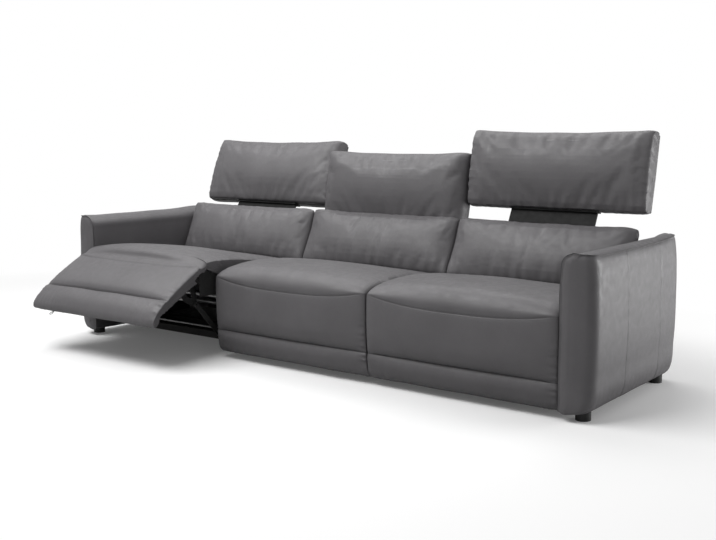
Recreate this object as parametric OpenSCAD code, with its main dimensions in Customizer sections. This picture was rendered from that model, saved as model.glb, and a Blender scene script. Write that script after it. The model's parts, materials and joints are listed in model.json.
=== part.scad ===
// Three-seater reclining sofa: three alike seats between two slim arms.
// Each seat has a footrest that slides forward and swings up, and a headrest that slides and tilts.
// x runs along the sofa, y runs from the front to the back, z is up. Sizes are in millimetres.

/* [Seats] */
// Width of one seat, from seam to seam
seat_pitch = 870; // [780:1:900]
// Gap between neighbouring cushions
seat_gap = 5; // [3:0.5:12]
// Height of the webbing that carries the seat cushions
deck_h = 352; // [345:1:358]
// Height of a seat cushion at its two sides
seat_side_h = 434; // [425:1:445]
// Extra height of a seat cushion in its middle
seat_crown = 27; // [10:1:40]
// Distance from the seat's front to the back edge of its cushion
seat_depth = 590; // [570:1:592]

/* [Back cushions] */
// Lean of the lower back cushion from upright, in degrees
back_lean = 26.8; // [24:0.1:28]
// Gap between a seat cushion and the foot of the lower back cushion
lumbar_gap = 10; // [8:1:15]
// Height of the foot of the lower back cushion
lumbar_z = 398; // [396:1:404]
// Length of the lower back cushion up its slope
lumbar_l = 286; // [270:1:288]
// Thickness of the lower back cushion at its edge
lumbar_t = 40; // [34:1:42]
// Bulge of the lower back cushion in its middle
lumbar_bulge = 28; // [10:1:36]

/* [Headrests] */
// Height of a headrest pad
head_h = 346; // [300:1:370]
// Thickness of a headrest pad at its edge
head_t = 92; // [80:1:94]
// Bulge of a headrest pad's face
head_bulge = 16; // [6:1:24]
// Lean of a raised headrest pad from upright, in degrees
head_lean = 11.5; // [9:0.1:14]
// Distance back from the tilt pivot to the lower front edge of a raised headrest
head_back = 65; // [62:1:71]
// Height of the lower front edge of a raised headrest
head_z = 716; // [710:1:725]
// Travel of a headrest down its guide
head_travel = 116; // [90:1:116]
// Largest tilt of a headrest to the back, in degrees
head_tilt = 15; // [12.5:0.5:15]
// Drop of the left headrest below its highest place, as shown
left_drop = 20; // [0:1:40]
// Tilt of the left headrest, as shown, in degrees
left_tilt = 12.3; // [0:0.1:12.5]
// Width of the steel plate that carries a headrest
plate_w = 420; // [380:1:460]
// Thickness of the steel plate that carries a headrest
plate_t = 8; // [5:0.5:8]
// Distance back from the foot of the lower back cushion to the headrest's tilt pivot
tilt_back = 124; // [122:0.5:126]
// Height of the headrest's tilt pivot
tilt_z = 500; // [496:1:504]

/* [Footrests] */
// Distance from the seat's front to the knee axle
knee_y = 10; // [8:0.5:12]
// Height of the knee axle of a closed footrest
knee_z = 372; // [370:0.5:374]
// Swing of a footrest from closed to open, in degrees
swing = 61; // [50:0.5:64]
// Forward travel of the knee axle
reach = 107; // [95:1:110]
// Rise of the knee axle over its travel
rise = 40.5; // [38:0.5:43]
// Radius of the padded roll over the knee axle
knee_r = 30; // [26:0.5:30]
// Thickness of the footrest pad behind the front plane
pad_t = 41.7; // [38:0.1:41.7]
// Forward bulge of the footrest pad
pad_bulge = 24; // [10:1:30]
// Height of the top edge of a closed footrest pad
pad_top = 341; // [330:1:341]
// Height of the stitched seam that crosses a closed footrest pad
pad_seam = 138; // [110:1:170]
// Height of the lower edge of a closed footrest pad
pad_bottom = 34; // [30:1:45]
// Thickness of the footrest board
board_t = 15; // [9:1:18]

/* [Arms] */
// Thickness of an arm at its edges
arm_t = 125; // [110:1:150]
// Outward bulge of an arm's side
arm_crown = 15; // [4:1:24]
// Height of the arms
arm_h = 615; // [580:1:660]
// Distance back from the headrest's tilt pivot to the back of the arms
back_room = 144; // [142:1:170]
// Height of the arms' underside
arm_bottom = 34; // [30:1:36]
// Thickness of the padding over an arm's wooden frame
arm_padding = 22; // [16:1:26]

/* [Base] */
// Underside of the three beams
beam_z = 40; // [38:1:44]
// Thickness of the beams
beam_t = 32; // [26:1:32]
// Radius of a foot
foot_r = 29; // [20:1:32]
// Height of the padded panel that closes the back
shell_h = 572; // [500:1:572]
// Thickness of the padded panel that closes the back
shell_t = 20; // [12:1:24]

/* [Steel] */
// Radius of the knee axle
axle_r = 11; // [8:0.5:13]
// Running clearance of steel parts
play = 0.3; // [0.2:0.05:0.5]
// Thickness of the flat steel links and brackets
link_t = 5; // [3:0.5:5]

/* [Hidden] */
$fn = 48;

// A seat's place along the sofa, and how its footrest and headrest stand in the model
LEFT = [-seat_pitch, 1, left_drop, left_tilt];
MIDDLE = [0, 0, head_travel, 0];
RIGHT = [seat_pitch, 0, 0, 0];

leather = [0.23, 0.235, 0.245];
steel = [0.62, 0.63, 0.65];
dark_steel = [0.16, 0.16, 0.17];
timber = [0.72, 0.58, 0.4];
black = [0.06, 0.06, 0.06];

soft_gap = 0.4;

// The back follows the seat's depth: cushion foot, tilt pivot, headrest, back of the arms
lumbar_y = seat_depth + lumbar_gap;
tilt_y = lumbar_y + tilt_back;
head_y = tilt_y + head_back;
arm_l = tilt_y + back_room;

cushion_half = (seat_pitch - seat_gap) / 2;
sofa_half = 1.5 * seat_pitch;
beam_top = beam_z + beam_t;

// The knee axle's path: it climbs forward along this slope
slope = atan(rise / reach);
stroke = norm([reach, rise]);
knee = [knee_y, knee_z];

// Layers across one seat, from its middle outwards
box_board_t = 18;
box_half = cushion_half - 57.5;
knee_pad_half = box_half + 1;
bracket_x = knee_pad_half + 4;
link_x = bracket_x + link_t + 5;
arm_plate_t = 4;
arm_plate_x = link_x + link_t + 5;
side_plate_x = arm_plate_x + arm_plate_t + 4;
side_plate_t = 5;

// Stay links: each is pinned to a side plate, and its upper eye meets the footrest bracket
stay_pin = [78, beam_top + 14];
cross_rod = [112, beam_top + 41];
cross_rod_r = 5;
bracket_eye = [140, -60];
bracket_tube = [85, -95];
eye_closed = knee + bracket_eye;
eye_open = knee + [-reach, rise] + turned(bracket_eye, -swing);
stay_l = norm(eye_closed - stay_pin);
stay_angle = angle_of(eye_closed - stay_pin);
stay_swing = angle_of(eye_open - stay_pin) - stay_angle;
stay_r = 12;
pin_r = 6;

// Sliding arms of the carriage, measured back from the knee axle along the slope
slide_pins = [150, 330];
slide_arm_l = slide_pins[1] + 22;
slide_arm_r = 14;
plate_reach = slide_pins[1] + 100;
rod_r = 7;
block_at = slide_pins[1] + 10;
block_l = 40;
rail_w = 22;
rail_drop = 18;
rail_from = 196;
rail_to = 470;
rail_tubes = [200, 450];
tube_r = 11;

// The seat box stands behind the sliding footrest parts
box_y = 175;
box_rail_h = 50;
web_t = 2;
web_w = 50;

// Headrest slide, measured up the slope of the back from the tilt pivot
tilt_pin = [tilt_y, tilt_z];
plate_foot = 45;
channel_from = -25;
channel_to = 92;
channel_wall = 3;
channel_grip = 12;
tilt_pin_r = 8;
stile_x = 330;
stile_t = 20;
stile_top = 580;

// Beams, front to back: [front edge, depth]
front_beam_y = [190, 60];
middle_beam_y = [seat_depth - 210, 40];
rear_beam_y = [arm_l - shell_t - 40, 40];

// Rounding of the arms
arm_front_r = 50;
arm_chamfer = 26;
arm_rear_r = 100;
arm_top_r = 46;
arm_foot_r = 60;
bolt_r = 5;
bolt_z = beam_z + 14;
bolt_reach = arm_t - arm_padding - arm_chamfer;
mid_foot_x = seat_pitch / 2;
corner_foot_x = sofa_half + 70;

// The origin lies midway between the open footrest's end and the tilted headrest's back
function turned(p, a) = [p[0] * cos(a) - p[1] * sin(a), p[0] * sin(a) + p[1] * cos(a)];
function angle_of(p) = atan2(p[1], p[0]);
function front_of(seat) =
    min([for (p = pad_ring(0)) on_footrest_point(p, seat)[0]]);
function back_of(seat) =
    max([for (p = head_ring(0)) on_headrest_point(head_point(p), seat)[0]]);
function on_footrest_point(p, seat) =
    knee + seat[1] * [-reach, rise] + turned(p - knee, -seat[1] * swing);
function on_headrest_point(p, seat) =
    tilt_pin + turned(p - seat[2] * up_slope - tilt_pin, -seat[3]);
up_slope = [sin(back_lean), cos(back_lean)];
origin_y = (min([for (s = [LEFT, MIDDLE, RIGHT]) front_of(s)])
    + max([for (s = [LEFT, MIDDLE, RIGHT]) back_of(s)])) / 2;

echo(origin_y = origin_y, stroke = stroke, slope = slope, stay_swing = stay_swing, stay_pin = stay_pin);
echo(eye_open = eye_open, eye_closed = eye_closed, stay_l = stay_l, tilt_pin = tilt_pin, arm_l = arm_l);

// Ring of points drawn in by d on every side of its box
function inset(ring, d) =
    let (low = [for (k = [0, 1]) min([for (p = ring) p[k]])], high = [for (k = [0, 1]) max([for (p = ring) p[k]])],
        mid = (low + high) / 2, half = (high - low) / 2)
    [for (p = ring) [for (k = [0, 1]) mid[k] + (p[k] - mid[k]) * (1 - d / half[k])]];

// Fullness across a cushion: 1 in its middle and 0 at its sides
function fullness(u) = 1 - pow(abs(u), 2.4);

// Stations along a rounded cushion: [place from -1 to 1, share of the end rounding]
function stations(half, r) = concat(
    [for (a = [90, 60, 30, 0]) [-(half - r + r * sin(a)) / half, 1 - cos(a)]],
    [for (u = [-0.62, -0.32, 0, 0.32, 0.62]) [u, 0]],
    [for (a = [0, 30, 60, 90]) [(half - r + r * sin(a)) / half, 1 - cos(a)]]
);

// Solid that runs along x through rings of side-view points
module loft(rings, places) {
    n = len(rings[0]);
    m = len(rings);
    points = [for (i = [0 : m - 1]) for (p = rings[i]) [places[i], p[0], p[1]]];
    sides = [for (i = [0 : m - 2]) for (j = [0 : n - 1])
        let (k = (j + 1) % n, a = i * n, b = a + n)
        each [[a + j, b + j, b + k], [a + j, b + k, a + k]]];
    first = [for (j = [0 : n - 1]) j];
    last = [for (j = [n - 1 : -1 : 0]) n * (m - 1) + j];
    polyhedron(points, concat(sides, [first, last]));
}

// Places what is modelled from the front plane of the closed seats
module placed(seat = MIDDLE) {
    translate([seat[0], -origin_y, 0]) children();
}

module on_carriage(seat) {
    placed(seat) translate([0, -seat[1] * reach, seat[1] * rise]) children();
}

module on_footrest(seat) {
    on_carriage(seat) translate([0, knee[0], knee[1]]) rotate([-seat[1] * swing, 0, 0])
        translate([0, -knee[0], -knee[1]]) children();
}

module on_stay(seat) {
    placed(seat) translate([0, stay_pin[0], stay_pin[1]])
        rotate([stay_angle + seat[1] * stay_swing, 0, 0]) children();
}

module on_guide(seat) {
    placed(seat) translate([0, tilt_pin[0], tilt_pin[1]]) rotate([-seat[3], 0, 0]) children();
}

// Measured up the headrest slide from the tilt pivot: y to the back, z up the slope
module up_the_slide(seat) {
    on_guide(seat) rotate([-back_lean, 0, 0]) children();
}

module on_headrest(seat) {
    on_guide(seat) translate([0, -seat[2] * up_slope[0] - tilt_pin[0], -seat[2] * up_slope[1] - tilt_pin[1]])
        children();
}

// Measured back from the knee axle along the carriage's slope
module along_the_slope() {
    translate([0, knee[0], knee[1]]) rotate([-slope, 0, 0]) children();
}

module along_x(from, to) {
    translate([from, 0, 0]) rotate([90, 0, 90]) linear_extrude(to - from) children();
}

module pin_x(from, to, at, r) {
    translate([from, at[0], at[1]]) rotate([0, 90, 0]) cylinder(h = to - from, r = r);
}

module both_sides() {
    children();
    mirror([1, 0, 0]) children();
}

// Flat bar with round ends in side view
module bar(a, b, r) {
    length = norm(b - a);
    translate(a) rotate(angle_of(b - a)) {
        translate([0, -r]) square([length, 2 * r]);
        circle(r = r);
        translate([length, 0]) circle(r = r);
    }
}

// Seat cushion: its underside follows the knee pad's slope, and its top is crowned
function under_seat(y) = knee[1] + (knee_r + soft_gap) / cos(slope) - (y - knee[0]) * tan(slope);
function seat_ring(u) =
    let (f = fullness(u), flat_from = knee[0] + (under_seat(knee[0]) - deck_h - soft_gap) / tan(slope),
        top = seat_side_h, c = seat_crown)
    [[20, under_seat(20)], [flat_from / 2, under_seat(flat_from / 2)],
        [flat_from, deck_h + soft_gap], [seat_depth / 2, deck_h + soft_gap],
        [seat_depth - 10, deck_h + soft_gap], [seat_depth, deck_h + 14],
        [seat_depth - 2, top - 52], [seat_depth - 20, top - 34 + 0.2 * c * f],
        [seat_depth - 80, top - 26 + 0.5 * c * f], [seat_depth - 170, top - 14 + 0.85 * c * f],
        [seat_depth / 2, top + c * f], [seat_depth / 3, top - 1 + 1.05 * c * f],
        [120, top - 7 + 1.05 * c * f], [70, top - 13 + 0.95 * c * f],
        [36, top - 20 + 0.8 * c * f], [15, under_seat(15) + 4 + 0.2 * c * f]];

module seat_cushion(seat) {
    r = 24;
    st = stations(cushion_half, r);
    color(leather) placed(seat)
        loft([for (s = st) inset(seat_ring(s[0]), 0.55 * r * s[1])], [for (s = st) s[0] * cushion_half]);
}

// Padded roll over the knee axle, with the flap that slides under the seat cushion
module knee_pad(seat) {
    flap_t = 12;
    flap_l = 118;
    color(leather) on_carriage(seat) along_the_slope() {
        difference() {
            union() {
                pin_x(-knee_pad_half, knee_pad_half, [0, 0], knee_r);
                translate([-knee_pad_half, 0, knee_r - flap_t]) cube([2 * knee_pad_half, flap_l, flap_t]);
            }
            pin_x(-knee_pad_half - 1, knee_pad_half + 1, [0, 0], axle_r + play);
            translate([-rod_r - 3, 0, -rod_r - 3]) cube([2 * rod_r + 6, knee_r + 1, 2 * rod_r + 6]);
        }
    }
}

// Footrest pad: bulging face, stitched seam and a roll along its lower edge
function pad_ring(u) =
    let (f = fullness(u), b = pad_bulge * f, low = pad_bottom, mid = (pad_top + pad_seam) / 2)
    [[32, low + 1], [50, low + 4], [59, low + 16], [54, low + 28], [pad_t, low + 32],
        [pad_t, pad_seam], [pad_t, mid], [pad_t, pad_top - 5], [22, pad_top], [2, pad_top - 4],
        [-5 - 0.4 * b, pad_top - 18], [-4 - 0.85 * b, pad_top - 50], [-3 - b, mid + 10],
        [-3 - 0.95 * b, mid - 45], [-2 - 0.6 * b, pad_seam + 20], [0 - 0.1 * b, pad_seam],
        [-2 - 0.5 * b, pad_seam - 16], [-3 - 0.7 * b, pad_seam - 40], [3 - 0.5 * b, low + 32],
        [14 - 0.2 * b, low + 10]];

module footrest_pad(seat) {
    r = 26;
    st = stations(cushion_half, r);
    color(leather) on_footrest(seat)
        loft([for (s = st) inset(pad_ring(s[0]), 0.4 * r * s[1])], [for (s = st) s[0] * cushion_half]);
}

// Plywood board of the footrest with its two steel brackets and the tube between them
module footrest_board(seat) {
    low = pad_bottom + 36;
    high = pad_top - 6;
    bracket_low = [pad_t + 15, pad_seam - 10];
    on_footrest(seat) {
        color(timber) translate([-bracket_x, pad_t + play, low])
            cube([2 * bracket_x, board_t, high - low]);
        color(dark_steel) {
            both_sides() {
                difference() {
                    along_x(bracket_x, bracket_x + link_t) {
                        bar(knee, knee + bracket_eye, 14);
                        bar(knee + bracket_eye, knee + bracket_tube, 14);
                        bar(knee + [47, -30], bracket_low, 13);
                        bar(knee + bracket_tube, knee + [47, -95], 14);
                        translate(knee) circle(r = axle_r + 6);
                    }
                    pin_x(bracket_x - 1, bracket_x + link_t + 1, knee, axle_r + play);
                }
                pin_x(bracket_x + link_t, link_x - 2 * play, knee + bracket_eye, 9);
            }
            pin_x(-bracket_x, bracket_x, knee + bracket_tube, 9);
        }
    }
}

// Stay links: flat bars that brace the open footrest against the side plates
module stay_links(seat) {
    color(steel) on_stay(seat) both_sides() difference() {
        along_x(link_x, link_x + link_t) bar([0, 0], [stay_l, 0], stay_r);
        pin_x(link_x - 1, link_x + link_t + 1, [0, 0], pin_r + play);
        pin_x(link_x - 1, link_x + link_t + 1, [stay_l, 0], pin_r + play);
    }
}

// Carriage: two sliding arms, the knee axle between them and the drive rod
module carriage(seat) {
    outer = arm_plate_x + arm_plate_t;
    color(steel) on_carriage(seat) along_the_slope() {
        both_sides() {
            along_x(arm_plate_x, outer) bar([0, 0], [slide_arm_l, 0], slide_arm_r);
            for (v = slide_pins) {
                pin_x(outer, side_plate_x + side_plate_t + play, [v, 0], pin_r);
                pin_x(side_plate_x + side_plate_t + play, side_plate_x + side_plate_t + 4, [v, 0], 11);
            }
        }
        pin_x(-outer, outer, [0, 0], axle_r);
        rotate([-90, 0, 0]) cylinder(h = block_at, r = rod_r);
        difference() {
            translate([-20, block_at, -rail_drop - rail_w - 5])
                cube([40, block_l, rail_drop + rail_w + 15]);
            translate([-rail_w / 2 - play, block_at - 1, -rail_drop - rail_w - play])
                cube([rail_w + 2 * play, block_l + 2, rail_w + 2 * play]);
        }
    }
}

// Drive unit: guide rail, the two tubes that hang it in the seat box, gearbox and motor
module drive_unit(seat) {
    centre = -rail_drop - rail_w / 2;
    color(dark_steel) placed(seat) along_the_slope() {
        translate([-rail_w / 2, rail_from, -rail_drop - rail_w]) cube([rail_w, rail_to - rail_from, rail_w]);
        for (v = rail_tubes)
            pin_x(-box_half + box_board_t, box_half - box_board_t, [v, -rail_drop - rail_w - tube_r], tube_r);
        translate([-26, rail_to, centre - 26]) cube([52, 52, 52]);
        pin_x(26, 150, [rail_to + 26, centre], 22);
    }
}

// Side plates: slotted steel plates on the beams that guide the carriage's pins, and the rod between them
module side_plates(seat) {
    strip = 22;
    window = 24;
    slot_r = pin_r + play;
    function on_slope(v, w) = knee + turned([v, w], -slope);
    front_top = on_slope(22, strip);
    rear_top = on_slope(plate_reach, strip);
    color(steel) placed(seat) both_sides() {
        difference() {
            along_x(side_plate_x, side_plate_x + side_plate_t) difference() {
                polygon([[60, beam_top], [60, pad_top - 2], on_slope(22, -strip + 4), front_top,
                    rear_top, [rear_top[0], beam_top]]);
                polygon([[60 + 2.5 * window, beam_top + window], [60 + 2.5 * window, 268],
                    [rear_top[0] - window, 152], [rear_top[0] - window, beam_top + window]]);
            }
            for (v = slide_pins) along_x(side_plate_x - 1, side_plate_x + side_plate_t + 1)
                bar(on_slope(v + 1, 0), on_slope(v - stroke - 1, 0), slot_r);
        }
        pin_x(link_x - play, side_plate_x, stay_pin, pin_r);
        pin_x(link_x - 3, link_x - play, stay_pin, 10);
    }
    color(steel) placed(seat) pin_x(-side_plate_x, side_plate_x, cross_rod, cross_rod_r);
}

// Wooden seat box: two boards on the beams, with a rail across the front and the back
module seat_box(seat) {
    top = deck_h - web_t;
    rail_z = top - box_rail_h;
    inner = box_half - box_board_t;
    color(timber) placed(seat) {
        both_sides() translate([inner, box_y, beam_top])
            cube([box_board_t, seat_depth - box_y, top - beam_top]);
        difference() {
            translate([-inner, box_y, rail_z]) cube([2 * inner, box_board_t, box_rail_h]);
            translate([-25, box_y - 1, rail_z - 1]) cube([50, box_board_t + 2, box_rail_h - 12]);
        }
        translate([-inner, seat_depth - box_board_t, rail_z]) cube([2 * inner, box_board_t, box_rail_h]);
    }
}

// Elastic webbing across the seat box
module webbing(seat) {
    count = 5;
    step = 2 * (box_half - web_w) / (count - 1);
    color(black) placed(seat) for (i = [0 : count - 1])
        translate([-box_half + web_w / 2 + i * step, box_y, deck_h - web_t])
            cube([web_w, seat_depth - box_y, web_t]);
}

// Lower back cushion: points are [up the slope, forward] from its rear lower edge
lumbar_foot = [lumbar_y, lumbar_z] + lumbar_t * [cos(back_lean), -sin(back_lean)];
function on_back(p) = lumbar_foot + p[0] * up_slope + p[1] * [-cos(back_lean), sin(back_lean)];
function lumbar_ring(u) =
    let (f = fullness(u), t = lumbar_t, b = lumbar_bulge * f, l = lumbar_l)
    [[4, 1], [70, 0], [150, 0], [l - 66, 0], [l - 36, 15], [l - 14, 27], [l - 2, 36],
        [l - 3, t + 6], [l - 16, t + 8 + 0.3 * b], [l - 50, t + 6 + 0.8 * b], [l - 100, t + 4 + b],
        [l - 160, t + 2 + b], [90, t + 0.95 * b], [45, t - 2 + 0.75 * b], [16, t - 8 + 0.4 * b],
        [3, t - 16], [0, 14]];

module lumbar_cushion(seat) {
    half = cushion_half - 3;
    r = 28;
    st = stations(half, r);
    color(leather) placed(seat)
        loft([for (s = st) [for (p = inset(lumbar_ring(s[0]), 0.4 * r * s[1])) on_back(p)]],
            [for (s = st) s[0] * half]);
}

// Two plywood webs that carry the lower back cushion and the headrest's tilt pins
module back_frame(seat) {
    rear = arm_l - shell_t;
    foot = on_back([0, -soft_gap]);
    head = on_back([(stile_top - foot[1]) / cos(back_lean), -soft_gap]);
    color(timber) placed(seat) both_sides() difference() {
        along_x(stile_x, stile_x + stile_t)
            polygon([foot, foot - [0, 50], foot + [54, -80], [rear_beam_y[0], beam_top], [rear, beam_top],
                [rear, stile_top - 40], [head[0] + 26, stile_top], head]);
        pin_x(stile_x - 1, stile_x + stile_t + 1, tilt_pin, tilt_pin_r + play);
    }
}

// Guide: two channels that hold the headrest plate's edges, a brace and the tilt pins
module headrest_guide(seat) {
    inner = plate_w / 2 - channel_grip;
    outer = plate_w / 2 + 2 * play + channel_wall;
    depth = plate_t / 2 + 2 * play;
    color(dark_steel) up_the_slide(seat) {
        both_sides() {
            difference() {
                translate([inner, -depth - channel_wall, channel_from])
                    cube([outer - inner, 2 * (depth + channel_wall), channel_to - channel_from]);
                translate([inner - 1, -depth, channel_from - 1])
                    cube([channel_grip + 1 + 2 * play, 2 * depth, channel_to - channel_from + 2]);
            }
            pin_x(outer - channel_wall / 2, stile_x + stile_t + 2, [0, 0], tilt_pin_r);
        }
        translate([-outer, depth + channel_wall, channel_from])
            cube([2 * outer, 6, 30]);
    }
}

// Headrest plate, with the bar at its top that carries the pad
module headrest_plate(seat) {
    bar_t = 8;
    bar_w = 48;
    pad_foot = head_point([0, -head_t / 2]);
    reach_up = (pad_foot - tilt_pin) * up_slope;
    color(dark_steel) on_headrest(seat) along_x(-plate_w / 2, plate_w / 2) {
        translate(tilt_pin) rotate(-back_lean) translate([-plate_t / 2, plate_foot])
            square([plate_t, reach_up - plate_foot - bar_t / 2]);
        translate(pad_foot) rotate(-head_lean) translate([-bar_w / 2, -bar_t - soft_gap])
            square([bar_w, bar_t]);
    }
}

// Headrest pad: points are [up, forward] from its lower front edge
function head_point(p) = [head_y, head_z]
    + p[0] * [sin(head_lean), cos(head_lean)] + p[1] * [-cos(head_lean), sin(head_lean)];
function head_ring(u) =
    let (f = fullness(u), b = head_bulge * f, t = head_t, h = head_h)
    [[0, -t + 14], [8, -t], [h / 3, -t - 0.2 * b], [2 * h / 3, -t - 0.2 * b], [h - 8, -t],
        [h, -t + 8], [h + 2 + 0.3 * b, -t / 2], [h - 2, -18], [h - 16, -3], [h - 50, 2 + 0.5 * b],
        [h - 110, 3 + 0.9 * b], [h / 2, 3 + b], [100, 2 + 0.9 * b], [50, 0.6 * b], [26, -3],
        [8, -18], [0, -40]];

module headrest_pad(seat) {
    half = cushion_half - 3;
    r = 14;
    st = stations(half, r);
    color(leather) on_headrest(seat)
        loft([for (s = st) [for (p = inset(head_ring(s[0]), 0.5 * r * s[1])) head_point(p)]],
            [for (s = st) s[0] * half]);
}

// Arm: points are [outward from its inner face, height], for a place along its length
function rounding(d, r) = d < r ? r - sqrt(max(0, r * r - (r - d) * (r - d))) : 0;
function arm_ring(y) =
    let (w = arm_t - rounding(y, arm_front_r) - 0.8 * rounding(arm_l - y, arm_rear_r),
        low = arm_bottom + 0.7 * rounding(arm_l - y, 0.7 * arm_rear_r),
        f = arm_foot_r * w / arm_t, c = arm_crown * w / arm_t, top = arm_h, mid = (low + top) / 2)
    [[6, low], [w - f, low], [w - 0.5 * f, low + 0.13 * f], [w - 0.13 * f, low + 0.5 * f],
        [w + 0.2 * c, low + f], [w + 0.75 * c, (low + mid) / 2], [w + c, mid],
        [w + 0.75 * c, (mid + top) / 2], [w + 0.25 * c, top - 30], [w - 3, top - 4],
        [w - 10, top], [max(arm_top_r, w / 2), top + 3], [0.9 * arm_top_r * w / arm_t, top - 1],
        [0.35 * arm_top_r * w / arm_t, top - 12], [0.08 * arm_top_r * w / arm_t, top - 28],
        [0, top - arm_top_r], [0, low + 6]];

module arm(side) {
    pad = arm_padding;
    places = [0, 6, 18, 34, arm_front_r, 0.35 * arm_l, 0.7 * arm_l, arm_l - arm_rear_r, arm_l - 62,
        arm_l - 34, arm_l - 14, arm_l - 4];
    color(leather) placed() mirror([side > 0 ? 1 : 0, 0, 0]) translate([-sofa_half, 0, 0]) difference() {
        rotate([0, 0, 90]) loft([for (y = places) arm_ring(y)], places);
        translate([0, arm_l - 80, 0]) rotate([90, 0, 0]) linear_extrude(arm_l - 140)
            mirror([1, 0]) arm_room(arm_bottom + 8, arm_h - 52);
        for (b = [front_beam_y, middle_beam_y, rear_beam_y])
            if (b[0] + b[1] / 2 < arm_l - 82)
                pin_x(-pad - 1, 1, [b[0] + b[1] / 2, bolt_z], bolt_r + play);
    }
}

// Room inside an arm, seen from the front, with its lower outer corner cut: x is outward
module arm_room(low, high) {
    near = arm_padding;
    far = arm_t - arm_padding;
    polygon([[near, low], [far - arm_chamfer, low], [far, low + arm_chamfer], [far, high], [near, high]]);
}

// Wooden frame inside an arm
module arm_frame(side) {
    pad = arm_padding;
    post = 44;
    low = arm_bottom + 8;
    high = arm_h - 52;
    depth = arm_t - 2 * pad;
    rear = arm_l - 80;
    color(timber) placed() mirror([side > 0 ? 1 : 0, 0, 0]) translate([-sofa_half - arm_t + pad, 0, 0])
        difference() {
            intersection() {
                union() {
                    translate([0, 60, low]) cube([depth, rear - 60, post]);
                    translate([0, 60, high - post]) cube([depth, rear - 60, post]);
                    for (y = [60, (60 + rear - post) / 2, rear - post])
                        translate([0, y, low]) cube([depth, post, high - low]);
                }
                translate([arm_t - pad, rear, 0]) rotate([90, 0, 0]) linear_extrude(rear - 60)
                    mirror([1, 0]) arm_room(low, high);
            }
            for (b = [front_beam_y, middle_beam_y])
                pin_x(arm_t - pad - bolt_reach, depth + 1, [b[0] + b[1] / 2, bolt_z], bolt_r + play);
        }
}

// Bolts that hold the arms to the beams
module arm_bolts() {
    thread = 60;
    color(steel) placed() both_sides() for (b = [front_beam_y, middle_beam_y])
        pin_x(sofa_half - thread, sofa_half + bolt_reach, [b[0] + b[1] / 2, bolt_z], bolt_r);
}

module beam(place) {
    thread = 60;
    color(timber) placed() difference() {
        translate([-sofa_half, place[0], beam_z]) cube([2 * sofa_half, place[1], beam_t]);
        if (place != rear_beam_y)
            both_sides() pin_x(sofa_half - thread, sofa_half + 1, [place[0] + place[1] / 2, bolt_z], bolt_r);
    }
}

module foot(height) {
    cylinder(h = height, r = foot_r);
}

module feet() {
    rear_y = arm_l - 78;
    color(black) placed() both_sides() {
        for (y = [76, rear_y]) translate([corner_foot_x, y, 0]) foot(arm_bottom);
        for (b = [front_beam_y, rear_beam_y])
            translate([mid_foot_x, b[0] + b[1] / 2, 0]) foot(beam_z);
    }
}

// Padded panel that closes the back between the arms
module back_shell() {
    low = beam_z;
    color(leather) placed() along_x(-sofa_half + play, sofa_half - play) {
        translate([arm_l - shell_t, low]) square([shell_t, shell_h - low - shell_t / 2]);
        translate([arm_l - shell_t / 2, shell_h - shell_t / 2]) circle(r = shell_t / 2);
    }
}

// Cloth under the beams
module dust_cover() {
    t = 2;
    front = front_beam_y[0];
    color(black) placed() difference() {
        translate([-sofa_half + 2, front, beam_z - t]) cube([2 * sofa_half - 4, arm_l - shell_t - front, t]);
        both_sides() for (b = [front_beam_y, rear_beam_y])
            translate([mid_foot_x, b[0] + b[1] / 2, beam_z - t - 1]) cylinder(h = t + 2, r = foot_r + play);
    }
}

arm(-1);  // left_arm
arm(1);  // right_arm
arm_frame(-1);  // left_arm_frame
arm_frame(1);  // right_arm_frame
arm_bolts();
beam(front_beam_y);  // front_beam
beam(middle_beam_y);  // middle_beam
beam(rear_beam_y);  // rear_beam
feet();
back_shell();
dust_cover();
seat_box(LEFT);  // left_seat_box
seat_box(MIDDLE);  // middle_seat_box
seat_box(RIGHT);  // right_seat_box
webbing(LEFT);  // left_webbing
webbing(MIDDLE);  // middle_webbing
webbing(RIGHT);  // right_webbing
side_plates(LEFT);  // left_side_plates
side_plates(MIDDLE);  // middle_side_plates
side_plates(RIGHT);  // right_side_plates
seat_cushion(LEFT);  // left_seat_cushion
seat_cushion(MIDDLE);  // middle_seat_cushion
seat_cushion(RIGHT);  // right_seat_cushion
back_frame(LEFT);  // left_back_frame
back_frame(MIDDLE);  // middle_back_frame
back_frame(RIGHT);  // right_back_frame
lumbar_cushion(LEFT);  // left_lumbar_cushion
lumbar_cushion(MIDDLE);  // middle_lumbar_cushion
lumbar_cushion(RIGHT);  // right_lumbar_cushion
drive_unit(LEFT);  // left_drive_unit
drive_unit(MIDDLE);  // middle_drive_unit
drive_unit(RIGHT);  // right_drive_unit
carriage(LEFT);  // left_carriage
carriage(MIDDLE);  // middle_carriage
carriage(RIGHT);  // right_carriage
knee_pad(LEFT);  // left_knee_pad
knee_pad(MIDDLE);  // middle_knee_pad
knee_pad(RIGHT);  // right_knee_pad
footrest_board(LEFT);  // left_footrest_board
footrest_board(MIDDLE);  // middle_footrest_board
footrest_board(RIGHT);  // right_footrest_board
footrest_pad(LEFT);  // left_footrest_pad
footrest_pad(MIDDLE);  // middle_footrest_pad
footrest_pad(RIGHT);  // right_footrest_pad
stay_links(LEFT);  // left_stay_links
stay_links(MIDDLE);  // middle_stay_links
stay_links(RIGHT);  // right_stay_links
headrest_guide(LEFT);  // left_headrest_guide
headrest_guide(MIDDLE);  // middle_headrest_guide
headrest_guide(RIGHT);  // right_headrest_guide
headrest_plate(LEFT);  // left_headrest_plate
headrest_plate(MIDDLE);  // middle_headrest_plate
headrest_plate(RIGHT);  // right_headrest_plate
headrest_pad(LEFT);  // left_headrest_pad
headrest_pad(MIDDLE);  // middle_headrest_pad
headrest_pad(RIGHT);  // right_headrest_pad
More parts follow.
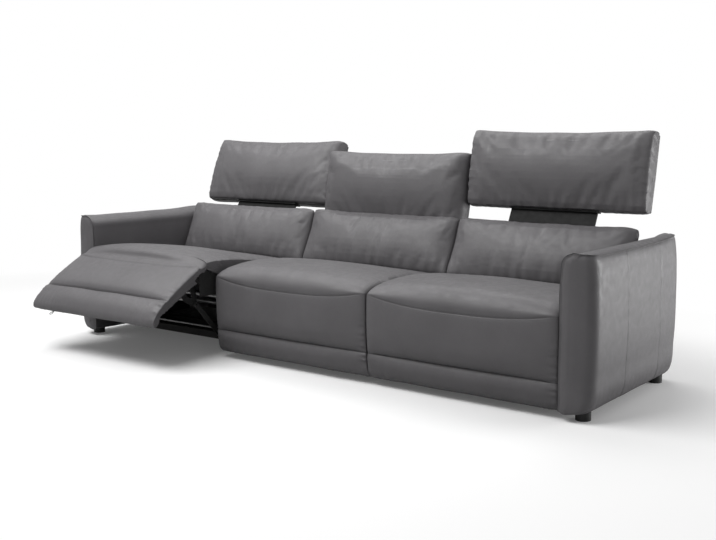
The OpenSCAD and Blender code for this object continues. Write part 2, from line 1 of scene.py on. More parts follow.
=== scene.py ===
"""Three-seater reclining sofa: leather, seams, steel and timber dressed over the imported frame."""
import json
import logging
import math
from collections.abc import Callable, Iterator
from contextlib import contextmanager
from dataclasses import dataclass
from enum import Enum

import bpy
import numpy as np
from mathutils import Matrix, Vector
from mathutils.kdtree import KDTree


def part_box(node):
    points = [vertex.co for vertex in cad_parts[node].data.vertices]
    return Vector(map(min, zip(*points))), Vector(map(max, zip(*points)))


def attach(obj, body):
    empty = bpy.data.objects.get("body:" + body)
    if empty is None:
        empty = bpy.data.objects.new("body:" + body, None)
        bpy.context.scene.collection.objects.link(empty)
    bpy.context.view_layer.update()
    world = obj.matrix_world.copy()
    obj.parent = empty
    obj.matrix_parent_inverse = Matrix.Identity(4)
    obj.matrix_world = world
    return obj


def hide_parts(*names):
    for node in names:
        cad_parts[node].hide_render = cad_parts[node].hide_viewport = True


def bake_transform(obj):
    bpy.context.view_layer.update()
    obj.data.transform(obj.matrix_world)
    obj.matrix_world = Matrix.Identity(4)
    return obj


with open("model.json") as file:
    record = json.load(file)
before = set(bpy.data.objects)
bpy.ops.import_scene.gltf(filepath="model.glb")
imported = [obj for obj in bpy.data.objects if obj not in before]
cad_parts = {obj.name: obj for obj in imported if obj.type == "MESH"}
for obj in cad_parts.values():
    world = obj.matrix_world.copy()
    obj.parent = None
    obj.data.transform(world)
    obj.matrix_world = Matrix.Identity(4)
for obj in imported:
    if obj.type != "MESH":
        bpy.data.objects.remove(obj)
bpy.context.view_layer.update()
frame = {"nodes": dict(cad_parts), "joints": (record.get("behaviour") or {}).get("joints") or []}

FRONT_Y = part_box("right_arm")[0].y
MM = 0.001
# Angles in degrees; places from the closed seats' front plane and the floor, in millimetres.
BACK_LEAN = 26.8
HEAD_LEAN = 11.5
HEAD_FOOT = (65.0, 216.0)
CLOSED_KNEE = (10.0, 372.0)
REACH, RISE, SWING = 107.0, 40.5, 61.0
SEAT_PITCH = 870.0
# Rows and stations beside a seam, in millimetres from it.
FINE_ROWS = (2.2, 4.6, 8.5)
FINE_STATIONS = (-8, -4.5, -2.2, 0, 2.2, 4.5, 8)
# Spacing of the points along a seam, and how far from it leather takes its place along the seam, in metres.
SEAM_STEP = 0.002
SEAM_REACH = 0.03
log = logging.getLogger("sofa")


class Joint(Enum):
    """How an outline passes one of its points."""

    SMOOTH = "smooth"
    CORNER = "corner"
    FLAT = "flat"
    SUNK = "sunk"
    PIPED = "piped"


class SeamKind(Enum):
    """Ways in which leather panels are sewn together: almost flush, pulled in, or with piping between."""

    FLAT = "flat"
    SUNK = "sunk"
    PIPED = "piped"


SEWN = {Joint.FLAT: SeamKind.FLAT, Joint.SUNK: SeamKind.SUNK, Joint.PIPED: SeamKind.PIPED}


@dataclass(frozen=True)
class Knot:
    """One point of a cushion's side-view outline, in millimetres.

    full_a and full_b are added in the middle of the cushion, draw_a and draw_b at its two ends.
    """

    a: float
    b: float
    full_a: float = 0.0
    full_b: float = 0.0
    draw_a: float = 0.0
    draw_b: float = 0.0
    joint: Joint = Joint.SMOOTH


@dataclass(frozen=True)
class Seam:
    """A sewn line over a form: its points in metres and how it is sewn."""

    points: np.ndarray
    kind: SeamKind


@dataclass(frozen=True)
class Crease:
    """A fold pressed into leather, from start to end in metres."""

    start: tuple[float, float, float]
    end: tuple[float, float, float]
    depth: float
    width: float


@dataclass(frozen=True)
class SeatPlace:
    """Where one seat stands and how its moving parts rest, in metres and degrees."""

    name: str
    x: float
    knee: tuple[float, float]
    open_angle: float
    pivot: tuple[float, float]
    tilt: float
    drop: float

    @property
    def is_open(self) -> bool:
        """True where the footrest rests open."""
        return self.open_angle > 1.0


def joint_named(name: str) -> dict:
    """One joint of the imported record.

    Args:
        name: The joint's name.

    Returns:
        The joint's row.
    """
    return next(row for row in frame["joints"] if row["name"] == name)


def seat_place(name: str) -> SeatPlace:
    """Reads a seat's place from the frame.

    Args:
        name: left, middle or right.

    Returns:
        The seat's place.
    """
    hinge = joint_named(f"{name}_footrest_hinge")
    tilt = joint_named(f"{name}_headrest_tilt")
    slide = joint_named(f"{name}_headrest_slide")
    return SeatPlace(
        name=name,
        x=hinge["pos_m"][0],
        knee=(hinge["pos_m"][1], hinge["pos_m"][2]),
        open_angle=-hinge["range_deg"][0],
        pivot=(tilt["pos_m"][1], tilt["pos_m"][2]),
        tilt=-tilt["range_deg"][0],
        drop=slide["range_m"][1],
    )


def row_places(length: float, spacing: float, fine_start: bool, fine_end: bool) -> np.ndarray:
    """Places of mesh rows along a panel, closer together beside a seam.

    Args:
        length: Length of the panel in millimetres.
        spacing: Usual distance between rows.
        fine_start: True where the panel starts at a seam.
        fine_end: True where the panel ends at a seam.

    Returns:
        Places from 0 up to but without length.
    """
    fine = [p for p in FINE_ROWS if p < 0.4 * length]
    low = [0.0] + fine * fine_start
    high = [length - p for p in reversed(fine * fine_end)]
    first, last = low[-1], high[0] if high else length
    count = max(1, round((last - first) / spacing))
    middle = [first + (last - first) * k / count for k in range(1, count)]
    return np.array(low + middle + high)


def hermite_rows(places: np.ndarray, targets: np.ndarray) -> np.ndarray:
    """Weights that turn a panel's knots into points on the smooth curve through them.

    Args:
        places: Place of each knot along the panel.
        targets: Places of the wanted points.

    Returns:
        A matrix with one row for each target and one column for each knot.
    """
    n = len(places)
    knots = np.eye(n)
    step = np.diff(places)
    slope = np.diff(knots, axis=0) / step[:, None]
    tangent = np.empty((n, n))
    tangent[0], tangent[-1] = slope[0], slope[-1]
    for i in range(1, n - 1):
        tangent[i] = (slope[i] * step[i - 1] + slope[i - 1] * step[i]) / (step[i - 1] + step[i])
    rows = []
    for s in targets:
        i = int(np.clip(np.searchsorted(places, s, side="right") - 1, 0, n - 2))
        t = (s - places[i]) / step[i]
        rows.append(
            (1 + 2 * t) * (1 - t) ** 2 * knots[i] + t * (1 - t) ** 2 * step[i] * tangent[i]
            + t * t * (3 - 2 * t) * knots[i + 1] + t * t * (t - 1) * step[i] * tangent[i + 1]
        )
    return np.array(rows)


@dataclass
class Outline:
    """A closed outline of knots that all sections of one form share.

    The outline starts at a knot that isn't smooth. Its rows are places on the curves between the knots.
    """

    joints: list[Joint]
    reference: np.ndarray
    spacing: float = 9.0

    def __post_init__(self) -> None:
        """Works out the row weights from the reference section."""
        count = len(self.joints)
        breaks = [i for i, joint in enumerate(self.joints) if joint is not Joint.SMOOTH]
        self.seam_rows: list[tuple[int, Joint]] = []
        self.knot_rows: dict[int, int] = {}
        blocks = []
        total = 0
        for k, start in enumerate(breaks):
            end = breaks[(k + 1) % len(breaks)]
            index = [i % count for i in range(start, end + (count if end <= start else 0) + 1)]
            chords = np.linalg.norm(np.diff(self.reference[index], axis=0), axis=1)
            places = np.concatenate([[0], np.cumsum(np.maximum(chords, 0.5))])
            sewn = [self.joints[i] in SEWN for i in (start, end % count)]
            targets = row_places(places[-1], self.spacing, *sewn)
            local = hermite_rows(places, targets)
            block = np.zeros((len(targets), count))
            for column, i in enumerate(index):
                block[:, i] += local[:, column]
            if sewn[0]:
                self.seam_rows.append((total, self.joints[start]))
            for place, i in zip(places[:-1], index[:-1]):
                self.knot_rows[i] = total + int(np.argmin(np.abs(targets - place)))
            blocks.append(block)
            total += len(targets)
        self.weights = np.vstack(blocks)


def refine(places: list[float], seam: float, clear: float) -> list[float]:
    """Puts the fine stations at a seam in place of those closer to it than clear."""
    return [p for p in places if abs(p - seam) > clear] + [seam + d for d in FINE_STATIONS]


def station_places(
    half: float, radius: float, spacing: float, extra: tuple[float, ...] = ()
) -> list[tuple[float, float]]:
    """Stations along a form with two round ends.

    Args:
        half: Half of the form's length in millimetres.
        radius: Length of each round end.
        spacing: Usual distance between stations.
        extra: Places that get a fine set of stations.

    Returns:
        (place, share of the end's draw) for each station.
    """
    steps = max(6, round(radius / 5))
    turn = [math.radians(90 * (1 - k / steps)) for k in range(steps + 1)]
    ends = [(half - radius + radius * math.sin(a), 1 - math.cos(a)) for a in turn]
    inner = half - radius
    count = max(2, round(2 * inner / spacing))
    body = [-inner + 2 * inner * k / count for k in range(1, count)]
    for place in extra:
        body = refine(body, place, 11)
    return [(-x, e) for x, e in ends] + [(b, 0.0) for b in sorted(body)] + [(x, e) for x, e in reversed(ends)]


def close_ends(
    rings: list[np.ndarray], places: list[float], count: int, depth: float, puffs: tuple[float, float]
) -> None:
    """Closes both ends of a form with smaller and smaller rings.

    Args:
        rings: The form's rings, changed in place.
        places: The place of each ring, changed in place.
        count: Rings that close each end.
        depth: How far the last ring has shrunk, from 0 to 1.
        puffs: How far the first and the last end stand proud.
    """
    for end, puff in zip((0, -1), puffs):
        ring, place = rings[end], places[end]
        middle, reach = (ring.max(0) + ring.min(0)) / 2, (ring.max(0) - ring.min(0)) / 2
        for k in range(1, count + 1):
            share = depth * k / count
            inner = middle + (ring - middle) * (1 - share * reach.min() / reach)
            out = puff * math.sin(math.pi / 2 * share)
            if end == 0:
                rings.insert(0, inner)
                places.insert(0, place - out)
            else:
                rings.append(inner)
                places.append(place + out)


@dataclass
class Form:
    """A grid of points, in metres, with one ring of rows for each station.

    Attributes:
        grid: Stations by rows by three coordinates.
        outline: The outline that gave the rows.
        section: Stations by rows by the section's own two coordinates, in millimetres.
    """

    grid: np.ndarray
    outline: Outline
    section: np.ndarray | None = None

    def normals(self) -> np.ndarray:
        """Outward normals of the grid's points."""
        along = np.gradient(self.grid, axis=0)
        around = np.roll(self.grid, -1, axis=1) - np.roll(self.grid, 1, axis=1)
        normal = np.cross(around, along)
        length = np.linalg.norm(normal, axis=2, keepdims=True)
        return normal / np.maximum(length, 1e-12)

    def row_line(self, row: int, stations: slice = slice(None)) -> np.ndarray:
        """Points of one row, for a seam along the form."""
        return self.grid[stations, row]

    def station_line(self, station: int, rows: range) -> np.ndarray:
        """Points of a stretch of one ring, for a seam around the form."""
        return self.grid[station, [r % self.grid.shape[1] for r in rows]]


def dense_line(points: np.ndarray, step: float = SEAM_STEP) -> np.ndarray:
    """A polyline with points no further apart than step, in metres."""
    parts = [points[:1]]
    for p, q in zip(points[:-1], points[1:]):
        count = max(1, math.ceil(np.linalg.norm(q - p) / step))
        share = (np.arange(1, count + 1) / count)[:, None]
        parts.append(p + (q - p) * share)
    return np.vstack(parts)


def tree_of(points: np.ndarray) -> KDTree:
    """A tree that finds the nearest of some points."""
    tree = KDTree(len(points))
    for index, point in enumerate(points):
        tree.insert(point, index)
    tree.balance()
    return tree


def sewn_field(points: np.ndarray, seams: list[Seam]) -> tuple[dict[SeamKind, np.ndarray], np.ndarray]:
    """Distance from each point to the nearest seam of each kind.

    Args:
        points: Points in metres.
        seams: The form's seams.

    Returns:
        The distances by kind of seam, and the place along the last seam that is near.
    """
    found = {kind: np.full(len(points), 1.0) for kind in SeamKind}
    along = np.zeros(len(points))
    for kind in SeamKind:
        lines = [dense_line(s.points) for s in seams if s.kind is kind]
        if not lines:
            continue
        tree = tree_of(np.vstack(lines))
        for i, p in enumerate(points):
            _, index, distance = tree.find(p)
            found[kind][i] = distance
            if distance < SEAM_REACH:
                along[i] = index * SEAM_STEP
    return found, along


def bell(x: np.ndarray, width: float) -> np.ndarray:
    """1 at 0, and almost nothing further than twice the width from it."""
    return np.exp(-((x / width) ** 2))


def ramp(x: np.ndarray, start: float, end: float) -> np.ndarray:
    """0 up to start, 1 from end, and straight between."""
    return np.clip((x - start) / (end - start), 0, 1)


def ripple(place: np.ndarray, wavelength: float, seed: float) -> np.ndarray:
    """Uneven waves along a line, from -1 to 1."""
    turn = 2 * math.pi * place / wavelength
    slow = np.sin(0.37 * turn + 1.7 * seed)
    return 0.5 * np.sin(turn + 2.1 * seed + 1.3 * slow) + 0.3 * np.sin(1.63 * turn + 3.3 * seed) + 0.2 * slow


def undulation(points: np.ndarray, size: float, seed: float) -> np.ndarray:
    """Slow unevenness of upholstery, from -1 to 1."""
    x, y, z = (points[..., k] * 2 * math.pi / size for k in range(3))
    return (
        0.4 * np.sin(x + 0.6 * np.sin(0.7 * z + seed) + seed)
        + 0.3 * np.sin(1.31 * z + 0.8 * np.sin(0.9 * x - seed) + 2 * seed)
        + 0.3 * np.sin(1.17 * y + 0.7 * x + 3 * seed)
    )


class Sewing:
    """Sinks seams, raises piping and presses folds into a form's grid."""

    def __init__(self, form: Form, seams: list[Seam], free: np.ndarray | float = 1.0) -> None:
        """Measures the form against its seams.

        Args:
            form: The form.
            seams: Its seams.
            free: How freely each point moves: 0 where the form meets another, and 1 elsewhere.
        """
        self.form = form
        self.free = free
        shape = form.grid.shape[:2]
        found, along = sewn_field(form.grid.reshape(-1, 3), seams)
        self.flat, self.sunk, self.piped = (
            found[k].reshape(shape) for k in (SeamKind.FLAT, SeamKind.SUNK, SeamKind.PIPED)
        )
        self.along = along.reshape(shape)
        self.normal = form.normals()

    @property
    def nearest(self) -> np.ndarray:
        """Distance to the nearest seam of any kind."""
        return np.minimum(self.flat, np.minimum(self.sunk, self.piped))

    @property
    def flush(self) -> np.ndarray:
        """1 where the nearest seam lies almost flush, and 0 elsewhere."""
        return (self.flat < np.minimum(self.sunk, self.piped)).astype(float)

    def move(self, distance: np.ndarray) -> None:
        """Moves the grid's points outwards by a distance in metres."""
        self.form.grid += self.normal * (distance * self.free)[..., None]

    def sew(self) -> None:
        """Sinks the seams and raises the piping."""
        flat, sunk, piped = (distance / MM for distance in (self.flat, self.sunk, self.piped))
        shift = -1.5 * bell(flat, 2.6) - 0.8 * bell(flat, 9) - 3.2 * bell(sunk, 3.6) - 3.2 * bell(sunk, 17)
        cord = 2.8 * bell((piped / 3.0) ** 2, 1) - 1.6 * bell(piped - 5.5, 2.2) - 2.6 * bell(piped, 16)
        self.move((shift + cord) * MM)

    def gather(self, height: float, reach: float, wavelength: float, seed: float) -> None:
        """Adds the small folds that run away from a seam.

        Args:
            height: Height of the folds in metres.
            reach: How far they run from the seam.
            wavelength: Distance between folds.
            seed: Changes their pattern.
        """
        near = bell(self.nearest, reach) * (1 - bell(self.nearest, 5 * MM))
        self.move(height * near * ripple(self.along, wavelength, seed))

    def fold(self, creases: list[Crease]) -> None:
        """Presses folds into the form."""
        points = self.form.grid
        total = np.zeros(points.shape[:2])
        for crease in creases:
            start, end = np.array(crease.start), np.array(crease.end)
            line = end - start
            t = np.clip(((points - start) @ line) / (line @ line), 0, 1)
            d = np.linalg.norm(points - (start + t[..., None] * line), axis=2)
            fade = np.sin(math.pi * np.clip(t, 0.04, 0.96)) ** 0.7
            w = crease.width
            total += crease.depth * fade * (0.5 * bell(d - 1.9 * w, 0.9 * w) - bell(d, w))
        self.move(total)

    def soften(self, height: float, size: float, seed: float) -> None:
        """Adds slow unevenness to the form."""
        self.move(height * undulation(self.form.grid, size, seed))


def deselect() -> None:
    """Leaves object mode's selection empty."""
    bpy.ops.object.select_all(action="DESELECT")


def select_only(piece: bpy.types.Object) -> None:
    """Selects one piece and makes it the active one."""
    deselect()
    piece.select_set(True)
    bpy.context.view_layer.objects.active = piece


@contextmanager
def edit_mode() -> Iterator[None]:
    """Edit mode for the lines inside, and object mode after them."""
    bpy.ops.object.mode_set(mode="EDIT")
    yield
    bpy.ops.object.mode_set(mode="OBJECT")


def face_outwards() -> None:
    """Turns the active piece's faces outwards."""
    with edit_mode():
        bpy.ops.mesh.select_all(action="SELECT")
        bpy.ops.mesh.normals_make_consistent(inside=False)


def smooth(angle: float) -> None:
    """Shades the selected piece smooth, apart from edges sharper than an angle in degrees."""
    bpy.ops.object.shade_smooth_by_angle(angle=math.radians(angle))


def read_points(piece: bpy.types.Object) -> np.ndarray:
    """The places of a piece's points."""
    flat = np.empty(len(piece.data.vertices) * 3)
    piece.data.vertices.foreach_get("co", flat)
    return flat.reshape(-1, 3)


def write_points(piece: bpy.types.Object, points: np.ndarray) -> None:
    """Moves a piece's points to their places."""
    piece.data.vertices.foreach_set("co", points.reshape(-1))
    piece.data.update()


@dataclass(frozen=True)
class Filling:
    """How a cushion's filling presses its leather out in a cloth simulation.

    Attributes:
        voxel: Size of the simulated mesh's faces, in metres.
        pressure: Pressure of the filling.
        looseness: How much larger the leather is cut than the form.
        stiffness: How hard the leather is to stretch.
        bending: How hard it is to fold.
        cap: The most that a point may move, in metres; the approach to it is gradual.
        frames: Frames that the simulation runs.
        neighbours: Simulated points that move each of the cushion's points.
        blur: Distance in metres at which a neighbour counts half as much.
    """

    voxel: float = 0.008
    pressure: float = 4.0
    looseness: float = 0.01
    stiffness: float = 15.0
    bending: float = 0.5
    cap: float = 0.022
    frames: int = 20
    neighbours: int = 6
    blur: float = 0.002

    def press(self, piece: bpy.types.Object, hold: np.ndarray) -> None:
        """Simulates an evenly meshed copy of a cushion and moves the cushion's leather as the copy moved.

        Args:
            piece: The cushion.
            hold: How firmly each point is sewn in its place, from 0 to 1.
        """
        points = read_points(piece)
        select_only(piece)
        bpy.ops.object.duplicate()
        copy = bpy.context.active_object
        remesh = copy.modifiers.new("even", "REMESH")
        remesh.mode = "VOXEL"
        remesh.voxel_size = self.voxel
        bpy.ops.object.modifier_apply(modifier=remesh.name)
        before = read_points(copy)
        near = tree_of(points)
        sewn = copy.vertex_groups.new(name="sewn")
        for index, point in enumerate(before):
            sewn.add([index], float(hold[near.find(point)[1]]), "REPLACE")
        self.simulate(copy, sewn.name)
        shift = read_points(copy) - before
        even = tree_of(before)
        moved = np.zeros_like(points)
        for index, point in enumerate(points):
            found = even.find_n(point, self.neighbours)
            weights = np.array([1 / (distance + self.blur) for _, _, distance in found])
            moved[index] = weights @ shift[[i for _, i, _ in found]] / weights.sum()
        moved *= ((1 - hold) ** 0.5)[:, None]
        length = np.linalg.norm(moved, axis=1, keepdims=True)
        moved *= self.cap * np.tanh(length / self.cap) / np.maximum(length, 1e-9)
        write_points(piece, points + moved)
        mesh = copy.data
        bpy.data.objects.remove(copy)
        bpy.data.meshes.remove(mesh)
        select_only(piece)
        log.info("%s: filled, pressed by up to %.1f mm before the cap", piece.name, length.max() / MM)

    def simulate(self, copy: bpy.types.Object, sewn: str) -> None:
        """Runs the cloth simulation on a copy and applies it.

        Args:
            copy: The evenly meshed copy.
            sewn: Name of its vertex group of sewn points.
        """
        cloth = copy.modifiers.new("leather", "CLOTH")
        settings = cloth.settings
        settings.quality = 5
        settings.tension_stiffness = settings.compression_stiffness = self.stiffness
        settings.shear_stiffness = self.stiffness / 3
        settings.bending_stiffness = self.bending
        settings.use_pressure = True
        settings.uniform_pressure_force = self.pressure
        settings.vertex_group_mass = sewn
        settings.shrink_min = -self.looseness
        settings.effector_weights.gravity = 0
        cloth.collision_settings.use_collision = False
        for frame_number in range(1, self.frames + 1):
            bpy.context.scene.frame_set(frame_number)
        bpy.ops.object.modifier_apply(modifier=cloth.name)
        bpy.context.scene.frame_set(1)


def build_form(
    name: str, sewing: Sewing, hold: np.ndarray | None = None, filling: Filling = Filling()
) -> bpy.types.Object:
    """Models a form: a cylinder primitive is cut into stations and shaped by the grid.

    Args:
        name: Name of the piece.
        sewing: The sewn form.
        hold: How firmly each point of the grid is sewn in its place, where the form is filled.
        filling: The filling.

    Returns:
        The piece.
    """
    grid = sewing.form.grid
    stations, rows = grid.shape[:2]
    deselect()
    bpy.ops.mesh.primitive_cylinder_add(vertices=rows, radius=1, depth=2, end_fill_type="NGON")
    piece = bpy.context.active_object
    piece.name = piece.data.name = name
    mesh = piece.data
    with edit_mode():
        bpy.ops.mesh.select_mode(type="EDGE")
        bpy.ops.mesh.select_all(action="DESELECT")
    for edge in mesh.edges:
        a, b = (mesh.vertices[i].co.z for i in edge.vertices)
        edge.select = abs(a - b) > 1
    with edit_mode():
        bpy.ops.mesh.subdivide(number_cuts=stations - 2)
    x, y, z = read_points(piece).T
    row = np.round(np.arctan2(y, x) * rows / (2 * math.pi)).astype(int) % rows
    station = np.round((z + 1) / 2 * (stations - 1)).astype(int)
    for label, values in (("seam", sewing.nearest), ("along", sewing.along), ("flush", sewing.flush)):
        attribute = mesh.attributes.new(label, "FLOAT", "POINT")
        attribute.data.foreach_set("value", values[station, row].astype(np.float32))
    write_points(piece, grid[station, row])
    face_outwards()
    select_only(piece)
    smooth(52)
    if hold is not None:
        filling.press(piece, hold[station, row])
    return piece


def fullness(u: float, power: float = 2.4) -> float:
    """Fullness across a cushion: 1 in its middle and 0 at its sides."""
    return 1 - abs(u) ** power


@dataclass
class Cushion:
    """A padded form across one seat, swept along x through side-view sections.

    Attributes:
        knots: The outline's knots, anticlockwise seen from the right.
        half: Half of the width in millimetres.
        radius: Length of the round ends in millimetres.
        power: How square the fullness is across the cushion.
        spacing: Usual distance between rows, in millimetres.
        station_spacing: Usual distance between stations.
        cap_rings: Rings that close each end, or none for a flat end.
        cap_puff: How far the closed end stands proud, in millimetres.
        end_share: How much of the draw the left and the right end have.
    """

    knots: list[Knot]
    half: float
    radius: float
    power: float = 2.4
    spacing: float = 9.0
    station_spacing: float = 11.0
    cap_rings: int = 4
    cap_puff: float = 2.0
    end_share: tuple[float, float] = (1.0, 1.0)

    def sections(self, place: Callable, x: float) -> Form:
        """Builds the grid of the cushion.

        Args:
            place: Turns (a, b) in millimetres into (y, z) in metres.
            x: Middle of the seat in metres.

        Returns:
            The form.
        """
        table = np.array([[k.a, k.b, k.full_a, k.full_b, k.draw_a, k.draw_b] for k in self.knots])
        base, full, draw = table[:, 0:2], table[:, 2:4], table[:, 4:6]
        outline = Outline([k.joint for k in self.knots], base + full, self.spacing)
        rings, places = [], []
        for s, e in station_places(self.half, self.radius, self.station_spacing):
            section = base + fullness(s / self.half, self.power) * full + e * self.end_share[s > 0] * draw
            rings.append(outline.weights @ section)
            places.append(s)
        close_ends(rings, places, self.cap_rings, 0.96, (self.cap_puff, self.cap_puff))
        grid = np.empty((len(rings), len(outline.weights), 3))
        for i, (ring, s) in enumerate(zip(rings, places)):
            y, z = place(ring[:, 0], ring[:, 1])
            grid[i] = np.column_stack([np.full(len(ring), x + s * MM), y, z])
        return Form(grid, outline, np.array(rings))

    def seams(self, form: Form) -> list[Seam]:
        """The seams along the outline's sewn knots."""
        inner = slice(self.cap_rings, form.grid.shape[0] - self.cap_rings)
        return [Seam(form.row_line(row, inner), SEWN[joint]) for row, joint in form.outline.seam_rows]


def front_plane(a: np.ndarray, b: np.ndarray) -> tuple[np.ndarray, np.ndarray]:
    """Millimetres back from the closed seats' front plane and up, as y and z in metres."""
    return FRONT_Y + a * MM, b * MM


def blend_share(points: np.ndarray, start: np.ndarray, end: np.ndarray) -> np.ndarray:
    line = end - start
    t = np.clip(((points - start) @ line) / (line @ line), 0, 1)
    return t * t * (3 - 2 * t)


# MATERIALS


class Tree:
    """Adds nodes to a node tree with short calls."""

    def __init__(self, tree: bpy.types.NodeTree) -> None:
        """Keeps the tree."""
        self.tree = tree

    def node(self, kind: str, inputs: dict | None = None, **settings: object) -> bpy.types.Node:
        """Adds a node.

        Args:
            kind: The node's type, without its ShaderNode prefix.
            inputs: Values or sockets for its inputs, by name or number.
            settings: The node's own settings.

        Returns:
            The node.
        """
        node = self.tree.nodes.new("ShaderNode" + kind)
        for key, value in settings.items():
            setattr(node, key, value)
        for key, value in (inputs or {}).items():
            if isinstance(value, bpy.types.NodeSocket):
                self.tree.links.new(value, node.inputs[key])
            else:
                node.inputs[key].default_value = value
        return node

    def math(self, operation: str, a: object, b: object = 0.0, clamp: bool = False) -> bpy.types.NodeSocket:
        """Adds a Math node and returns its value."""
        return self.node("Math", {0: a, 1: b}, operation=operation, use_clamp=clamp).outputs[0]

    def plus(self, a: object, b: object, clamp: bool = False) -> bpy.types.NodeSocket:
        """Adds a sum."""
        return self.math("ADD", a, b, clamp)

    def times(self, a: object, b: object) -> bpy.types.NodeSocket:
        """Adds a product."""
        return self.math("MULTIPLY", a, b)

    def mix(self, share: object, a: object, b: object) -> bpy.types.NodeSocket:
        """Adds a colour mix and returns its colour."""
        return self.node("Mix", {0: share, 6: a, 7: b}, data_type="RGBA").outputs[2]

    def spread(
        self, value: object, low: float, high: float, to_low: float = 0.0, to_high: float = 1.0
    ) -> bpy.types.NodeSocket:
        """Maps a value from one range to another, clamped."""
        return self.node("MapRange", {0: value, 1: low, 2: high, 3: to_low, 4: to_high}).outputs[0]

    def noise(self, place: object, scale: float, detail: float) -> bpy.types.NodeSocket:
        """Adds a noise texture and returns its value."""
        return self.node("TexNoise", {"Vector": place, "Scale": scale, "Detail": detail}).outputs["Fac"]

    def scaled(self, place: object, scale: tuple[float, float, float]) -> bpy.types.NodeSocket:
        """Scales a vector along its axes."""
        return self.node("Mapping", {"Vector": place, "Scale": scale}).outputs["Vector"]

    def attribute(self, name: str) -> bpy.types.NodeSocket:
        """The value of a mesh attribute."""
        return self.node("Attribute", attribute_name=name).outputs["Fac"]


class Skin(Tree):
    """A shader group that gives a colour, a roughness and a height from object coordinates.

    Attributes:
        given: The group's inputs.
        place: Object coordinates.
    """

    results = (("Colour", "Color"), ("Roughness", "Float"), ("Height", "Float"))

    def __init__(self, name: str, inputs: dict[str, float | tuple[float, ...]]) -> None:
        """Starts the group.

        Args:
            name: The group's name.
            inputs: Default values by name: a number, or a colour in four parts.
        """
        super().__init__(bpy.data.node_groups.new(name, "ShaderNodeTree"))
        sockets = self.tree.interface
        for label, value in inputs.items():
            kind = "Color" if isinstance(value, tuple) else "Float"
            socket = sockets.new_socket(label, in_out="INPUT", socket_type="NodeSocket" + kind)
            socket.default_value = value
        for label, kind in self.results:
            sockets.new_socket(label, in_out="OUTPUT", socket_type="NodeSocket" + kind)
        self.given = self.tree.nodes.new("NodeGroupInput").outputs
        self.place = self.node("TexCoord").outputs["Object"]

    def close(self, *values: bpy.types.NodeSocket) -> bpy.types.NodeTree:
        """Links the group's results and returns its tree."""
        sink = self.tree.nodes.new("NodeGroupOutput")
        for (label, _), value in zip(self.results, values):
            self.tree.links.new(value, sink.inputs[label])
        return self.tree


def leather_skin_group() -> bpy.types.NodeTree:
    """Pebbled leather: colour, roughness and height from object coordinates and the seam attributes, with
    painted shade darkening the colour along the seams.
    """
    g = Skin("leather_skin", {"Colour": (0.1, 0.1, 0.1, 1), "Grain Scale": 520.0, "Sheen Change": 0.08})
    cells = g.node(
        "TexVoronoi", {"Vector": g.place, "Scale": g.given["Grain Scale"]}, feature="DISTANCE_TO_EDGE"
    )
    pores = g.spread(cells.outputs["Distance"], 0.0, 0.16)
    pits = g.math("SUBTRACT", 1.0, pores)
    seam = g.attribute("seam")
    # Painted shade: the colour is darkened within 3.5 mm of each seam, less where the seam lies flush, to
    # stand for the shade in the seam grooves.
    sunk = g.times(g.spread(seam, 0.0, 0.0035, 1.0, 0.0), g.spread(g.attribute("flush"), 0.0, 1.0, 1.0, 0.4))
    line = g.spread(g.math("ABSOLUTE", g.math("SUBTRACT", seam, 0.0062)), 0.0004, 0.0010, 1.0, 0.0)
    dash = g.math("GREATER_THAN", g.math("FRACT", g.math("DIVIDE", g.attribute("along"), 0.0055)), 0.3)
    stitch = g.times(line, dash)
    tone = g.spread(g.noise(g.place, 7.0, 3.0), 0.3, 0.7, 0.93, 1.07)
    colour = g.node("HueSaturation", {"Color": g.given["Colour"], "Value": tone}).outputs["Color"]
    colour = g.mix(g.times(pits, 0.28), colour, (0.02, 0.02, 0.02, 1))
    # Painted shade along the seams.
    colour = g.mix(g.times(sunk, 0.72), colour, (0.012, 0.012, 0.013, 1))
    colour = g.mix(g.times(stitch, 0.5), colour, (0.035, 0.035, 0.037, 1))
    drift = g.spread(g.noise(g.place, 34.0, 2.0), 0.3, 0.7, -1.0, 1.0)
    rough = g.plus(0.42, g.times(drift, g.given["Sheen Change"]))
    rough = g.plus(rough, g.times(pits, 0.12), clamp=True)
    height = g.plus(g.times(pores, 0.7), g.times(g.noise(g.place, 1500.0, 2.0), 0.3))
    return g.close(colour, rough, g.plus(height, g.times(stitch, 0.8)))


def worn_metal_group() -> bpy.types.NodeTree:
    """Brushed or painted metal: streaks, blotches and fine scratches."""
    inputs = {"Colour": (0.5, 0.5, 0.5, 1), "Dark": (0.3, 0.3, 0.3, 1), "Roughness": 0.35, "Streak": 0.5}
    g = Skin("worn_metal", inputs)
    streak = g.noise(g.scaled(g.place, (4.0, 160.0, 160.0)), 6.0, 3.0)
    blotch = g.noise(g.place, 45.0, 4.0)
    share = g.times(g.spread(blotch, 0.35, 0.7), 0.6)
    share = g.plus(share, g.times(g.spread(streak, 0.4, 0.7), g.given["Streak"]), clamp=True)
    colour = g.mix(share, g.given["Colour"], g.given["Dark"])
    rough = g.plus(g.given["Roughness"], g.times(g.math("SUBTRACT", blotch, 0.5), 0.25), clamp=True)
    height = g.plus(g.times(streak, g.given["Streak"]), g.times(g.noise(g.place, 900.0, 2.0), 0.5))
    return g.close(colour, rough, height)


